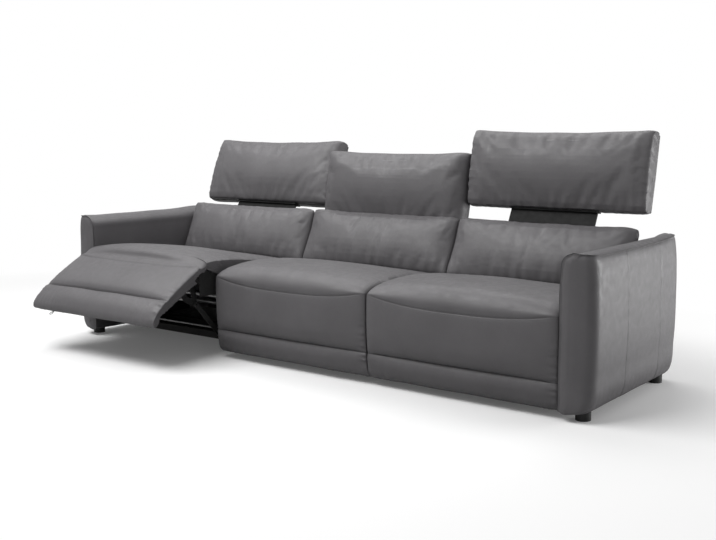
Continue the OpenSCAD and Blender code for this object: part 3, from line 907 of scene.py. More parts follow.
def sawn_wood_group() -> bpy.types.NodeTree:
    """Planed softwood and plywood: rings and fibres."""
    g = Skin("sawn_wood", {"Colour": (0.5, 0.35, 0.2, 1), "Dark": (0.3, 0.18, 0.09, 1), "Ring Scale": 18.0})
    wave = g.node("TexWave", {
        "Vector": g.scaled(g.place, (0.25, 1.0, 1.0)), "Scale": g.given["Ring Scale"], "Distortion": 6.0,
        "Detail": 3.0, "Detail Scale": 1.4,
    }, wave_type="RINGS", rings_direction="X").outputs["Fac"]
    fibre = g.noise(g.scaled(g.place, (6.0, 180.0, 180.0)), 3.0, 4.0)
    share = g.plus(g.times(wave, 0.5), g.times(g.spread(fibre, 0.35, 0.7), 0.4), clamp=True)
    colour = g.mix(share, g.given["Colour"], g.given["Dark"])
    height = g.plus(g.times(fibre, 0.7), g.times(wave, 0.3))
    return g.close(colour, g.spread(fibre, 0.3, 0.7, 0.55, 0.75), height)


def woven_cloth_group() -> bpy.types.NodeTree:
    """Plain weave and spun-bonded cloth."""
    inputs = {"Colour": (0.02, 0.02, 0.02, 1), "Light": (0.05, 0.05, 0.05, 1), "Threads": 600.0}
    g = Skin("woven_cloth", inputs)
    turn = g.node("VectorMath", {0: g.place, 3: g.given["Threads"]}, operation="SCALE").outputs[0]
    split = g.node("SeparateXYZ", {0: turn})
    sines = [g.math("SINE", split.outputs[k]) for k in range(3)]
    weave = g.times(g.plus(sines[0], sines[2]), g.plus(sines[1], 1.5))
    cloud = g.noise(g.place, 60.0, 4.0)
    share = g.plus(g.spread(weave, -3.0, 3.0, 0.0, 0.6), g.times(cloud, 0.4), clamp=True)
    colour = g.mix(share, g.given["Colour"], g.given["Light"])
    return g.close(colour, g.spread(cloud, 0.3, 0.7, 0.8, 0.95), share)


class Groups:
    """The shared shader groups, each built once."""

    made: dict[str, bpy.types.NodeTree] = {}
    makers = {
        "leather_skin": leather_skin_group, "worn_metal": worn_metal_group, "sawn_wood": sawn_wood_group,
        "woven_cloth": woven_cloth_group,
    }

    @classmethod
    def get(cls, name: str) -> bpy.types.NodeTree:
        """The group of that name."""
        if name not in cls.made:
            cls.made[name] = cls.makers[name]()
        return cls.made[name]


@dataclass(frozen=True)
class Finish:
    """A surface finish: a shader group with its values, on a plain shader.

    Attributes:
        name: Name of the material.
        group: Name of the shader group.
        values: Values of the group's inputs.
        metallic: Metallic value of the shader.
        bump: Strength of the bump.
        depth: Height of the bump in metres.
        specular: Specular level of the shader.
    """

    name: str
    group: str
    values: tuple[tuple[str, object], ...]
    metallic: float = 0.0
    bump: float = 0.4
    depth: float = 0.0004
    specular: float = 0.5

    def material(self) -> bpy.types.Material:
        """Builds the material, or finds it if it is built."""
        found = bpy.data.materials.get(self.name)
        if found:
            return found
        material = bpy.data.materials.new(self.name)
        material.use_nodes = True
        material.node_tree.nodes.clear()
        t = Tree(material.node_tree)
        skin = t.node("Group")
        skin.node_tree = Groups.get(self.group)
        for label, value in self.values:
            skin.inputs[label].default_value = value
        height = skin.outputs["Height"]
        bump = t.node("Bump", {"Height": height, "Strength": self.bump, "Distance": self.depth})
        shader = t.node("BsdfPrincipled", {
            "Base Color": skin.outputs["Colour"], "Roughness": skin.outputs["Roughness"],
            "Normal": bump.outputs["Normal"], "Metallic": self.metallic, "Specular IOR Level": self.specular,
        })
        t.node("OutputMaterial", {"Surface": shader.outputs["BSDF"]})
        return material

    def dress(self, piece: bpy.types.Object) -> None:
        """Puts the finish on every material slot of a piece."""
        mesh = piece.data
        if not mesh.materials:
            mesh.materials.append(self.material())
        for i in range(len(mesh.materials)):
            mesh.materials[i] = self.material()


def grey(level: float) -> tuple[float, float, float, float]:
    """A grey as a linear colour."""
    return (level, level, level, 1.0)


def metal(
    name: str, light: float, dark: float, rough: float, streak: float = 0.5, **shader: float
) -> Finish:
    """A finish of worn metal or of moulded plastic.

    Args:
        name: Name of the material.
        light: Grey of the clean surface.
        dark: Grey of its streaks and blotches.
        rough: Roughness.
        streak: How much it is streaked.
        shader: Values of the plain shader.

    Returns:
        The finish.
    """
    values = (("Colour", grey(light)), ("Dark", grey(dark)), ("Roughness", rough), ("Streak", streak))
    return Finish(name, "worn_metal", values, **shader)


def wood(name: str, light: tuple[float, float, float], dark: tuple[float, float, float]) -> Finish:
    """A finish of planed wood with the colours of its early and its late rings."""
    return Finish(name, "sawn_wood", (("Colour", (*light, 1)), ("Dark", (*dark, 1))), bump=0.5)


def cloth(name: str, dark: float, light: float, threads: float = 600.0) -> Finish:
    """A finish of woven cloth with the greys of its hollows and threads."""
    return Finish(name, "woven_cloth", (("Colour", grey(dark)), ("Light", grey(light)), ("Threads", threads)))


LEATHER = Finish(
    "charcoal_leather", "leather_skin", (("Colour", (0.135, 0.130, 0.136, 1)),),
    bump=0.35, depth=0.0005, specular=0.45,
)
ZINC = metal("zinc_plated_steel", 0.55, 0.30, 0.33, metallic=0.9)
BLACK_STEEL = metal("black_coated_steel", 0.022, 0.035, 0.42, 0.15, metallic=0.3)
PLATE_STEEL = metal("graphite_coated_plate", 0.018, 0.014, 0.62, 0.1, specular=0.15)
LINK_STEEL = metal("grey_coated_link", 0.07, 0.045, 0.4, 0.2, metallic=0.5)
PLASTIC = metal("moulded_black_plastic", 0.012, 0.02, 0.45, 0.0)
TIMBER = wood("planed_timber", (0.50, 0.34, 0.19), (0.33, 0.20, 0.10))
BLACK_TIMBER = wood("black_stained_timber", (0.016, 0.015, 0.014), (0.008, 0.008, 0.008))
LINING = cloth("black_lining_cloth", 0.010, 0.018)
WEBBING = cloth("elastic_webbing", 0.02, 0.06, 900.0)


def declare(piece: bpy.types.Object, finish: Finish, slot: str, *nodes: str) -> None:
    """Gives a piece its finish and hides the CAD nodes that it stands for."""
    finish.dress(piece)
    if nodes:
        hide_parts(*nodes)


# SEATS


# Where the seat's and the footrest's leather meet, behind the front plane, and how both are swept across.
JUNCTION = 60.0
SEAT_SWEEP = {"half": 432.0, "radius": 42.0, "power": 2.8, "station_spacing": 7.0}


def end_share(place: SeatPlace) -> tuple[float, float]:
    """How much a seat's leather is drawn in at its left and right end: an open one hangs unevenly."""
    return (1.5, 0.6) if place.is_open else (1.0, 1.0)


@dataclass
class SeatPad:
    """The seat cushion's leather, from the lower back cushion to the top of the knee.

    Attributes:
        place: The seat's place.
        stretch_from: Where the leather starts to follow the sliding knee, in millimetres from the front.
        seed: Changes the pattern of the unevenness.
    """

    place: SeatPlace
    stretch_from: float = 400.0
    seed: float = 0.0

    def cushion(self) -> Cushion:
        """The seat's outline."""
        knots = [
            Knot(JUNCTION, 384, joint=Joint.CORNER),
            Knot(144, 352.6),
            Knot(300, 352.6), Knot(578, 352.6, draw_a=-2, draw_b=3),
            Knot(589, 366, draw_a=-6), Knot(590, 384, draw_a=-9),
            Knot(574, 401, 0, 3, -8, -7), Knot(530, 409, 0, 11, 0, -13),
            Knot(470, 415, 0, 18, 0, -15), Knot(410, 422, 0, 23, 0, -16),
            Knot(300, 434, 0, 28, 0, -17), Knot(205, 434, 0, 30, 0, -18),
            Knot(130, 429, 0, 31, 0, -18), Knot(90, 424, 0, 31, 0, -18),
            Knot(JUNCTION, 420, 0, 31, 0, -18, joint=Joint.CORNER),
        ]
        share = end_share(self.place)
        return Cushion(knots, spacing=9, cap_rings=3, cap_puff=0.3, end_share=share, **SEAT_SWEEP)

    def build(self) -> bpy.types.Object:
        """Builds the seat leather and lets it stretch with the carriage."""
        seat = self.place
        form = self.cushion().sections(front_plane, seat.x)
        behind = (form.grid[..., 1] - FRONT_Y) / MM - JUNCTION
        sewing = Sewing(form, [], free=ramp(behind, 0, 40))
        sewing.soften(1.6 * MM, 0.31, self.seed)
        x, y, z = (form.grid[..., k] for k in range(3))
        side = ramp(np.abs(x - seat.x), 0.39, 0.425)
        slack = (2.6 if seat.is_open else 0.8) * MM
        sewing.move(slack * side * bell(behind - 30, 90) * ripple(y + 0.25 * z, 0.023, self.seed))
        start = np.array([seat.x, FRONT_Y + self.stretch_from * MM, 0.43])
        end = np.array([seat.x, FRONT_Y + JUNCTION * MM, 0.43])
        if seat.is_open:
            share = blend_share(form.grid, start, end)[..., None]
            form.grid += share * np.array([0, -REACH, RISE]) * MM
            end = end + np.array([0, -REACH, 0]) * MM
        piece = build_form(f"{seat.name}_seat_leather", sewing)
        declare(piece, LEATHER, "leather", f"{seat.name}_seat_cushion", f"{seat.name}_knee_pad")
        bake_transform(piece)
        return piece


@dataclass
class FootrestPad:
    """The footrest's front pad with the leather that rolls over the knee.

    Attributes:
        place: The seat's place.
        seam_lift: How much higher the lower seam is sewn, in millimetres.
        seed: Changes the pattern of folds.
    """

    place: SeatPlace
    seam_lift: float = 0.0
    seed: float = 0.0

    def cushion(self) -> Cushion:
        """The pad's outline in its closed place."""
        lift = self.seam_lift
        tuck = 0 if self.place.is_open else 1
        knots = [
            Knot(JUNCTION, 420, 0, 31, 0, -18, joint=Joint.CORNER),
            Knot(38, 414, -4, 31, 2, -17), Knot(18, 407, -9, 25, 5, -16),
            Knot(4, 400, -14, 9, 9, -14), Knot(-5, 395, -16, -11, 12, -11),
            Knot(-8, 390, -14, -35, 14, -8, joint=Joint.FLAT),
            Knot(-9, 372, -15, -30, 14, -2), Knot(-9, 320, -18, -15, 13, 0), Knot(-7, 250, -20, 0, 12, 0),
            Knot(-4, 190 + lift, -17, 0, 11, 0), Knot(0, 158 + lift, -11, 0, 10, 0),
            Knot(4, 138 + lift, -4, 0, 8, 0, joint=Joint.SUNK),
            Knot(2, 122 + lift, -6, 0, 8, 0), Knot(6 - 2 * tuck, 101 + 0.5 * lift, -9, 0, 8, 0),
            Knot(15 - 6 * tuck, 74, -8, 0, 7, 1), Knot(26 - 11 * tuck, 51, -5, 0, 5, 2),
            Knot(38 - 12 * tuck, 35 + 2 * tuck, -2, 0, 3, 3), Knot(51 - 9 * tuck, 28, 0, 0, -1, 4),
            Knot(63, 28, 0, 0, -4, 3), Knot(70, 40, 0, 0, -5, 1), Knot(62, 58, 0, 0, -4, 0),
            Knot(42.3, 74, joint=Joint.CORNER),
            Knot(41.7, 150), Knot(41.7, 250), Knot(41.7, 333, joint=Joint.CORNER),
            Knot(27, 339, 0, 0, 10, -12), Knot(14, 343, -9, 1, 18, -14), Knot(7, 354, -14, 1, 22, -10),
            Knot(5, 370, -15, 0, 24, -8), Knot(8, 381, -13, 5, 24, -8), Knot(16, 388, -10, 9, 20, -8),
            Knot(34, 391, -4, 8, 8, -10),
        ]
        return Cushion(knots, spacing=6, cap_rings=0, end_share=end_share(self.place), **SEAT_SWEEP)

    def closed_line(self) -> tuple[np.ndarray, np.ndarray]:
        """Where a closed footrest's leather turns from the carriage to the footrest."""
        x = self.place.x
        start = np.array([x, FRONT_Y + JUNCTION * MM, 0.445])
        return start, np.array([x, FRONT_Y - 21 * MM, 0.355])

    def opened(self, points: np.ndarray) -> np.ndarray:
        """Moves points of the closed pad to their place on the open footrest."""
        share = blend_share(points, *self.closed_line())
        angle = -np.radians(SWING) * share
        knee = np.array([FRONT_Y + CLOSED_KNEE[0] * MM, CLOSED_KNEE[1] * MM])
        away = points[..., 1:] - knee
        cos, sin = np.cos(angle), np.sin(angle)
        result = points.copy()
        result[..., 1] = self.place.knee[0] + away[..., 0] * cos - away[..., 1] * sin
        result[..., 2] = self.place.knee[1] + away[..., 0] * sin + away[..., 1] * cos
        return result

    def build(self) -> bpy.types.Object:
        """Builds the pad, opened if it rests open, and lets its leather roll over the knee."""
        seat = self.place
        cushion = self.cushion()
        form = cushion.sections(front_plane, seat.x)
        y, z = (form.grid[..., k].copy() for k in (1, 2))
        x = np.abs(form.grid[..., 0] - seat.x)
        ahead = np.where(z > 0.36, JUNCTION - (y - FRONT_Y) / MM, 60)
        inside = ramp(ahead, 0, 30)
        sewing = Sewing(form, cushion.seams(form), free=inside * (1 - 0.8 * ramp(x, 0.385, 0.415)))
        sewing.sew()
        sewing.free = inside
        sewing.soften(1.4 * MM, 0.27, self.seed)
        right = np.where(form.grid[..., 0] > seat.x, 1.0, 0.25)
        edge = bell(x - 0.422, 0.015) * ramp(0.36 - z, 0, 0.16) * right
        sewing.move(4.2 * MM * edge * ripple(z + 0.3 * y, 0.030, self.seed + 1))
        foot = bell(z - 0.05, 0.03) * ramp(x, 0.15, 0.35)
        sewing.move(2.2 * MM * foot * ripple(form.grid[..., 0], 0.026, self.seed + 2))
        under = bell(z - 0.118, 0.016) * (y < FRONT_Y + 0.02)
        sewing.move(1.3 * MM * under * ripple(form.grid[..., 0], 0.034, self.seed + 3))
        if seat.is_open:
            form.grid = self.opened(form.grid)
        piece = build_form(f"{seat.name}_footrest_leather", sewing)
        declare(piece, LEATHER, "leather", f"{seat.name}_footrest_pad")
        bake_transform(piece)
        return piece


@dataclass
class LumbarPad:
    """The lower back cushion.

    Attributes:
        place: The seat's place.
        thickness: Thickness at the edge in millimetres.
        bulge: Extra thickness in the middle.
        length: Length up its slope.
        seed: Changes the pattern of folds.
    """

    place: SeatPlace
    thickness: float = 40.0
    bulge: float = 28.0
    length: float = 286.0
    seed: float = 0.0

    def on_back(self, a: np.ndarray, b: np.ndarray) -> tuple[np.ndarray, np.ndarray]:
        """From the cushion's own frame, measured at its rear lower edge, to y and z."""
        lean = math.radians(BACK_LEAN)
        foot = (600 + self.thickness * math.cos(lean), 398 - self.thickness * math.sin(lean))
        y = foot[0] + b * math.sin(lean) + a * math.cos(lean)
        z = foot[1] + b * math.cos(lean) - a * math.sin(lean)
        return front_plane(y, z)

    def cushion(self) -> Cushion:
        """The cushion's outline: back from the front face, and up the slope."""
        t, g, h = self.thickness, self.bulge, self.length
        knots = [
            Knot(-1, 4, 0, 0, -2, 4, joint=Joint.CORNER),
            Knot(0, 70), Knot(0, 150), Knot(0, h - 66, 0, 0, -2, -2),
            Knot(-15, h - 34, 0, -2, 1, -6), Knot(-27, h - 9, 0, -4, 4, -10),
            Knot(-36, h + 5, 0, -7, 8, -14, joint=Joint.PIPED),
            Knot(-t - 6, h + 3, -0.05 * g, -6, 15, -14), Knot(-t - 9, h - 11, -0.3 * g, -4, 22, -10),
            Knot(-t - 7, h - 49, -0.8 * g, -1, 28, -3), Knot(-t - 4, h - 100, -g, 0, 30, 0),
            Knot(-t - 2, h - 160, -g, 0, 31, 0), Knot(-t, 90, -0.95 * g, 0, 29, 0),
            Knot(2 - t, 45, -0.75 * g, 0, 25, 3), Knot(8 - t, 16, -0.4 * g, 0, 18, 7),
            Knot(16 - t, 3, 0, 0, 10, 9), Knot(-12, 0, 0, 0, 2, 6),
        ]
        return Cushion(
            knots, 431.0, 72, spacing=8.5, station_spacing=9, cap_rings=3, cap_puff=1.0, end_share=(0.7, 1.0)
        )

    def build(self) -> bpy.types.Object:
        """Builds the cushion."""
        seat = self.place
        cushion = self.cushion()
        form = cushion.sections(self.on_back, seat.x)
        sewing = Sewing(form, cushion.seams(form))
        sewing.sew()
        sewing.soften(1.8 * MM, 0.26, self.seed)
        across, up = form.grid[..., 0], form.section[..., 1]
        low = ramp(165 - up, 0, 120) ** 1.3
        high = ramp(up, 190, 270)
        front = ramp(-8 - form.section[..., 0], 0, 20)
        sewing.move(4.6 * MM * low * front * ripple(across, 0.082, self.seed + 0.7))
        sewing.move(1.2 * MM * high * front * ripple(across + 0.2 * up * MM, 0.085, self.seed + 1.9))
        sewing.fold(self.creases())
        ends = ramp(np.abs(across - seat.x) / MM, 405, 425)
        hold = np.maximum.reduce([1 - front, ends, bell(sewing.nearest, 9 * MM), ramp(22 - up, 0, 14)])
        piece = build_form(f"{seat.name}_lumbar_leather", sewing, hold)
        declare(piece, LEATHER, "leather", f"{seat.name}_lumbar_cushion")
        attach(piece, "root")
        return piece

    def creases(self) -> list[Crease]:
        """Puckers that run in from the upper corners."""
        found = []
        for side in (-1, 1):
            for k, (run, rise) in enumerate(((74, -58), (34, -96))):
                starts = [np.array([v]) for v in (-self.thickness - 12, self.length - 14 - 14 * k)]
                ends = [np.array([v]) for v in (-self.thickness - 20, self.length - 14 + rise - 14 * k)]
                y0, z0 = (v[0] for v in self.on_back(*starts))
                y1, z1 = (v[0] for v in self.on_back(*ends))
                x0 = self.place.x + side * 0.418
                end = (x0 - side * run * MM, y1, z1)
                found.append(Crease((x0, y0, z0), end, (2.2 + 1.4 * k) * MM, 11 * MM))
        return found


HEAD_FILLING = Filling(pressure=1.6, bending=2.0, cap=0.014)
HEAD_SHAPES = {
    "left": {
        "height": 354.0, "half": 429.0, "end_radius": 60.0, "end_draw": 28.0, "end_share": (0.1, 1.0),
        "shift": -5.0,
    },
    "middle": {"height": 346.0, "half": 419.0, "end_radius": 90.0, "end_draw": 56.0, "shift": 8.0},
    "right": {"height": 346.0, "half": 431.0, "end_radius": 40.0, "end_draw": 18.0, "end_share": (0.2, 1.0)},
}


@dataclass
class HeadPad:
    """The headrest pad: a crowned front, side gussets and piping round its back.

    Attributes:
        place: The seat's place.
        height: Height of the pad in millimetres.
        thickness: Thickness of the pad.
        bulge: Bulge of the front.
        half: Half its width.
        end_radius: Length of the round ends.
        end_draw: How far the front is drawn back at its ends.
        end_share: How much of that the left and the right end have.
        shift: How far the pad sits to the right of the middle of its seat.
        seed: Changes the pattern of folds.
    """

    place: SeatPlace
    height: float = 346.0
    thickness: float = 92.0
    bulge: float = 16.0
    half: float = 433.0
    end_radius: float = 30.0
    end_draw: float = 6.0
    end_share: tuple[float, float] = (1.0, 1.0)
    shift: float = 0.0
    seed: float = 0.0

    def on_headrest(self, a: np.ndarray, b: np.ndarray) -> tuple[np.ndarray, np.ndarray]:
        """From the pad's own frame, measured at its lower front edge, to y and z."""
        seat = self.place
        lean, slope, tilt = (math.radians(v) for v in (HEAD_LEAN, BACK_LEAN, seat.tilt))
        y = HEAD_FOOT[0] + b * math.sin(lean) + a * math.cos(lean)
        z = HEAD_FOOT[1] + b * math.cos(lean) - a * math.sin(lean)
        y = y * MM - seat.drop * math.sin(slope)
        z = z * MM - seat.drop * math.cos(slope)
        return (
            seat.pivot[0] + y * math.cos(tilt) + z * math.sin(tilt),
            seat.pivot[1] - y * math.sin(tilt) + z * math.cos(tilt),
        )

    def cushion(self) -> Cushion:
        """The pad's outline: back from the front face, and up."""
        t, g, h, d = self.thickness, self.bulge, self.height, self.end_draw
        knots = [
            Knot(t - 3, 2, 0, 0, -8, 7, joint=Joint.PIPED),
            Knot(t, 60, 0, 0, -8, 0), Knot(t, 170, 0, 0, -8, 0), Knot(t, h - 60, 0, 0, -8, 0),
            Knot(t - 3, h - 1, 0, -7, -8, -7, joint=Joint.PIPED),
            Knot(t - 18, h + 8, 0, -11, -1, -8), Knot(t / 2, h + 11, 0, -13, 0, -9),
            Knot(24, h + 8, 0, -13, 0.2 * d, -10),
            Knot(6, h - 2, -1, -12, 0.5 * d, -11), Knot(-5, h - 22, -0.4 * g, -8, 0.8 * d, -8),
            Knot(-11, h - 58, -0.7 * g, -2, 0.95 * d, -3), Knot(-12, h - 110, -0.92 * g, 0, d, 0),
            Knot(-12, h / 2 - 10, -g, 0, d, 0), Knot(-8, 100, -0.86 * g, 0, d, 0),
            Knot(-2, 54, -0.6 * g, 0, 0.9 * d, 2), Knot(4, 18, -0.3 * g, 0, 0.7 * d, 6),
            Knot(14, -1, 0, 0, 0.4 * d, 8), Knot(31, -5, 0, 0, 2, 8, joint=Joint.SUNK),
            Knot(62, -4, 0, 0, 0, 8),
        ]
        return Cushion(
            knots, self.half, self.end_radius, power=2.4, spacing=8, station_spacing=9, cap_rings=6,
            cap_puff=3.0, end_share=self.end_share,
        )

    def build(self) -> bpy.types.Object:
        """Builds the pad."""
        seat = self.place
        cushion = self.cushion()
        middle = seat.x + self.shift * MM
        form = cushion.sections(self.on_headrest, middle)
        rows = form.outline.knot_rows
        seams = cushion.seams(form)
        last = form.grid.shape[0] - 1 - cushion.cap_rings
        for station in (cushion.cap_rings, last):
            seams.append(Seam(form.station_line(station, range(rows[0], rows[4] + 1)), SeamKind.PIPED))
        sewing = Sewing(form, seams)
        sewing.sew()
        sewing.soften(1.5 * MM, 0.24, self.seed)
        sewing.gather(1.6 * MM, 34 * MM, 0.045, self.seed)
        depth, up = form.section[..., 0], form.section[..., 1]
        x = np.abs(form.grid[..., 0] - middle)
        gusset = ramp(x, 0.400, 0.420) * ramp(sewing.piped / MM, 5, 15)
        slant = form.grid[..., 2] + 0.9 * form.grid[..., 1]
        sewing.move(2.2 * MM * gusset * ripple(slant, 0.060, self.seed + 0.4))
        front = ramp(14 - depth, 0, 20) * ramp(0.42 - x, 0, 0.04)
        low = bell(up - 18, 42) * front
        high = bell(up - self.height + 20, 34) * front
        sewing.move(3.2 * MM * low * ripple(form.grid[..., 0], 0.072, self.seed + 1.1))
        sewing.move(1.8 * MM * high * ripple(form.grid[..., 0], 0.090, self.seed + 2.3))
        back, ends, under = ramp(depth, 22, 34), ramp(x / MM, 385, 415), ramp(16 - up, 0, 14)
        hold = np.maximum.reduce([back, ends, under, bell(sewing.nearest, 9 * MM)])
        piece = build_form(f"{seat.name}_headrest_leather", sewing, hold, HEAD_FILLING)
        declare(piece, LEATHER, "leather", f"{seat.name}_headrest_pad")
        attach(piece, f"{seat.name}_headrest")
        return piece


# ARMS AND BACK


@dataclass
class ArmPad:
    """An upholstered arm: front panel wrapped round the outer corner, top panel and two vertical seams.

    Attributes:
        side: -1 for the left arm and 1 for the right.
        thickness: Thickness at the edges in millimetres.
        crown: Outward bulge of the outer side.
        height: Height of the arm.
        length: Length from front to back.
        bottom: Height of the underside.
        front_radius: Radius of the outer front corner.
        rear_radius: Radius of the outer rear corner.
        top_radius: Radius of the inner top edge.
        foot_radius: Radius of the outer lower edge.
        seam_places: Distances of the vertical seams from the front.
        seed: Changes the pattern of the unevenness.
        top_edge: The point of the section that the top seam runs along.
        cap_rings: Rings that close each end.
    """

    side: int
    thickness: float = 125.0
    crown: float = 15.0
    height: float = 615.0
    length: float = 868.0
    bottom: float = 34.0
    front_radius: float = 50.0
    rear_radius: float = 76.0
    top_radius: float = 46.0
    foot_radius: float = 44.0
    seam_places: tuple[float, float] = (300.0, 640.0)
    seed: float = 0.0
    top_edge: int = 10
    cap_rings: int = 6

    @staticmethod
    def rounding(depth: float, radius: float) -> float:
        """How far a rounded corner is drawn in at a depth behind its edge."""
        return radius - math.sqrt(max(0.0, radius**2 - (radius - depth) ** 2)) if depth < radius else 0.0

    def ring(self, y: float) -> np.ndarray:
        """The arm's section at a place along it: outward from the inner face, and up."""
        far = self.length - y
        w = self.thickness - self.rounding(y, self.front_radius) - 0.8 * self.rounding(far, self.rear_radius)
        share = w / self.thickness
        low = self.bottom + 0.6 * self.rounding(far, 0.5 * self.rear_radius)
        f, c, top, r = self.foot_radius * share, self.crown * share, self.height, self.top_radius * share
        mid = (low + top) / 2
        ear = 8 * math.exp(-((y / 70) ** 2)) + 13 * math.exp(-((far / 170) ** 2))
        return np.array([
            (1, low + 4), (8, low), (w - f, low), (w - 0.5 * f, low + 0.13 * f),
            (w - 0.13 * f, low + 0.5 * f), (w + 0.2 * c, low + f), (w + 0.75 * c, (low + mid) / 2),
            (w + c, mid), (w + 0.75 * c, (mid + top) / 2), (w + 0.25 * c, top - 30),
            (w - 2, top - 3 + ear), (w - 14, top + 1 + 0.8 * ear), (max(r, 0.52 * w), top + 2 + 0.3 * ear),
            (0.8 * r, top - 3), (0.35 * r, top - 15), (0.08 * r, top - 33), (0, top - 60), (0, mid),
        ])

    def places(self) -> list[float]:
        """Stations from front to back, close together at the ends and beside the seams."""
        def arc(radius: float, angles: range | tuple[int, ...]) -> list[float]:
            """Depths of places on a rounded end."""
            return [radius * (1 - math.cos(math.radians(a))) for a in angles]

        front = [0.0, 2.2, 4.6] + [p for p in arc(self.front_radius, range(12, 83, 10)) if p > 6]
        rear_edge = self.length - 4
        rear = [rear_edge - p for p in arc(0.92 * self.rear_radius, (88, *range(76, 15, -10), 8, 0))]
        start, end = self.front_radius + 4, rear[0] - 8
        count = round((end - start) / 13)
        body = [start + (end - start) * k / count for k in range(count + 1)]
        for seam in self.seam_places:
            body = refine(body, seam, 12)
        return front + sorted(body) + rear

    def build(self) -> bpy.types.Object:
        """Builds the arm."""
        name = "left" if self.side < 0 else "right"
        inner_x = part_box(f"{name}_arm")[1 if self.side < 0 else 0].x
        places = self.places()
        joints = [Joint.SMOOTH] * len(self.ring(0))
        joints[0], joints[self.top_edge] = Joint.CORNER, Joint.PIPED
        outline = Outline(joints, self.ring(self.length / 2), 10.0)
        rings = [outline.weights @ self.ring(y) for y in places]
        close_ends(rings, places, self.cap_rings, 0.97, (5.0, 3.0))
        grid = np.array([
            np.column_stack([
                inner_x + self.side * ring[:, 0] * MM,
                np.full(len(ring), FRONT_Y + y * MM),
                ring[:, 1] * MM,
            ])
            for ring, y in zip(rings, places)
        ])
        if self.side > 0:
            grid = grid[::-1]
        piece = build_form(f"{name}_arm_leather", self.sewn(Form(grid, outline), places))
        declare(piece, LEATHER, "leather", f"{name}_arm")
        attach(piece, "root")
        return piece

    def sewn(self, form: Form, places: list[float]) -> Sewing:
        """Sews the arm: the front panel's piped edge, the top seam and the two vertical seams."""
        last = len(places) - 1
        at = [last - i if self.side > 0 else i for i in range(last + 1)]
        rows, edge = form.outline.knot_rows, self.top_edge
        front, rear = at[self.cap_rings], at[last - self.cap_rings]
        long_way = slice(min(front, rear), max(front, rear) + 1)
        round_front = range(rows[edge], len(form.outline.weights) + rows[1])
        seams = [
            Seam(form.row_line(rows[edge], long_way), SeamKind.PIPED),
            Seam(form.station_line(front, round_front), SeamKind.PIPED),
        ]
        for seam in self.seam_places:
            i = int(np.argmin([abs(y - seam) for y in places]))
            seams.append(Seam(form.station_line(at[i], range(rows[2], rows[edge])), SeamKind.FLAT))
        sewing = Sewing(form, seams)
        sewing.sew()
        sewing.soften(1.5 * MM, 0.3, self.seed)
        sewing.gather(1.0 * MM, 26 * MM, 0.08, self.seed)
        return sewing


@dataclass
class BackPanel:
    """The upholstered panel that closes the back, with a seam behind each seat boundary.

    Attributes:
        low: Height of its lower edge in millimetres.
        high: Height of its upper edge.
        front: Depth of its inner face.
        rear: Depth of its outer face.
        half: Half its width.
        crown: Bulge of the outer face behind each seat.
    """

    low: float = 40.0
    high: float = 572.0
    front: float = 848.4
    rear: float = 867.6
    half: float = 1303.0
    crown: float = 5.0

    def build(self) -> bpy.types.Object:
        """Builds the panel."""
        t = self.rear - self.front
        knots = [
            Knot(self.front, self.low + 2, joint=Joint.CORNER), Knot(self.front + 3, self.low),
            Knot(self.rear - 6, self.low, joint=Joint.FLAT), Knot(self.rear - 1, self.low + 7),
            Knot(self.rear, self.low + 30, 1, 0),
            *(Knot(self.rear, up, self.crown, 0) for up in (180, 330, 480)),
            Knot(self.rear, self.high - 24, 1, 0), Knot(self.rear - 3, self.high - 7),
            Knot(self.rear - t / 2, self.high), Knot(self.front + 3, self.high - 5),
            Knot(self.front, self.high - 14, joint=Joint.CORNER), Knot(self.front, 300),
        ]
        table = np.array([[k.a, k.b, k.full_a, k.full_b] for k in knots])
        outline = Outline([k.joint for k in knots], table[:, :2] + table[:, 2:], 16.0)
        boundaries = (-SEAT_PITCH / 2, SEAT_PITCH / 2)
        stations = station_places(self.half, 6, 26, boundaries)
        grid = []
        for s, _ in stations:
            from_middle = min(abs(s - middle) for middle in (-SEAT_PITCH, 0.0, SEAT_PITCH))
            f = fullness(min(1.0, from_middle / (SEAT_PITCH / 2)), 3.0)
            ring = outline.weights @ (table[:, :2] + f * table[:, 2:])
            y, z = front_plane(ring[:, 0], ring[:, 1])
            grid.append(np.column_stack([np.full(len(ring), s * MM), y, z]))
        form = Form(np.array(grid), outline)
        seams = [Seam(form.row_line(row), SeamKind.FLAT) for row, _ in outline.seam_rows]
        rows = outline.knot_rows
        for place in boundaries:
            i = int(np.argmin([abs(s - place) for s, _ in stations]))
            seams.append(Seam(form.station_line(i, range(rows[2], rows[11])), SeamKind.SUNK))
        sewing = Sewing(form, seams)
        sewing.sew()
        piece = build_form("back_shell_leather", sewing)
        declare(piece, LEATHER, "leather", "back_shell")
        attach(piece, "root")
        return piece


# SMALL PIECES


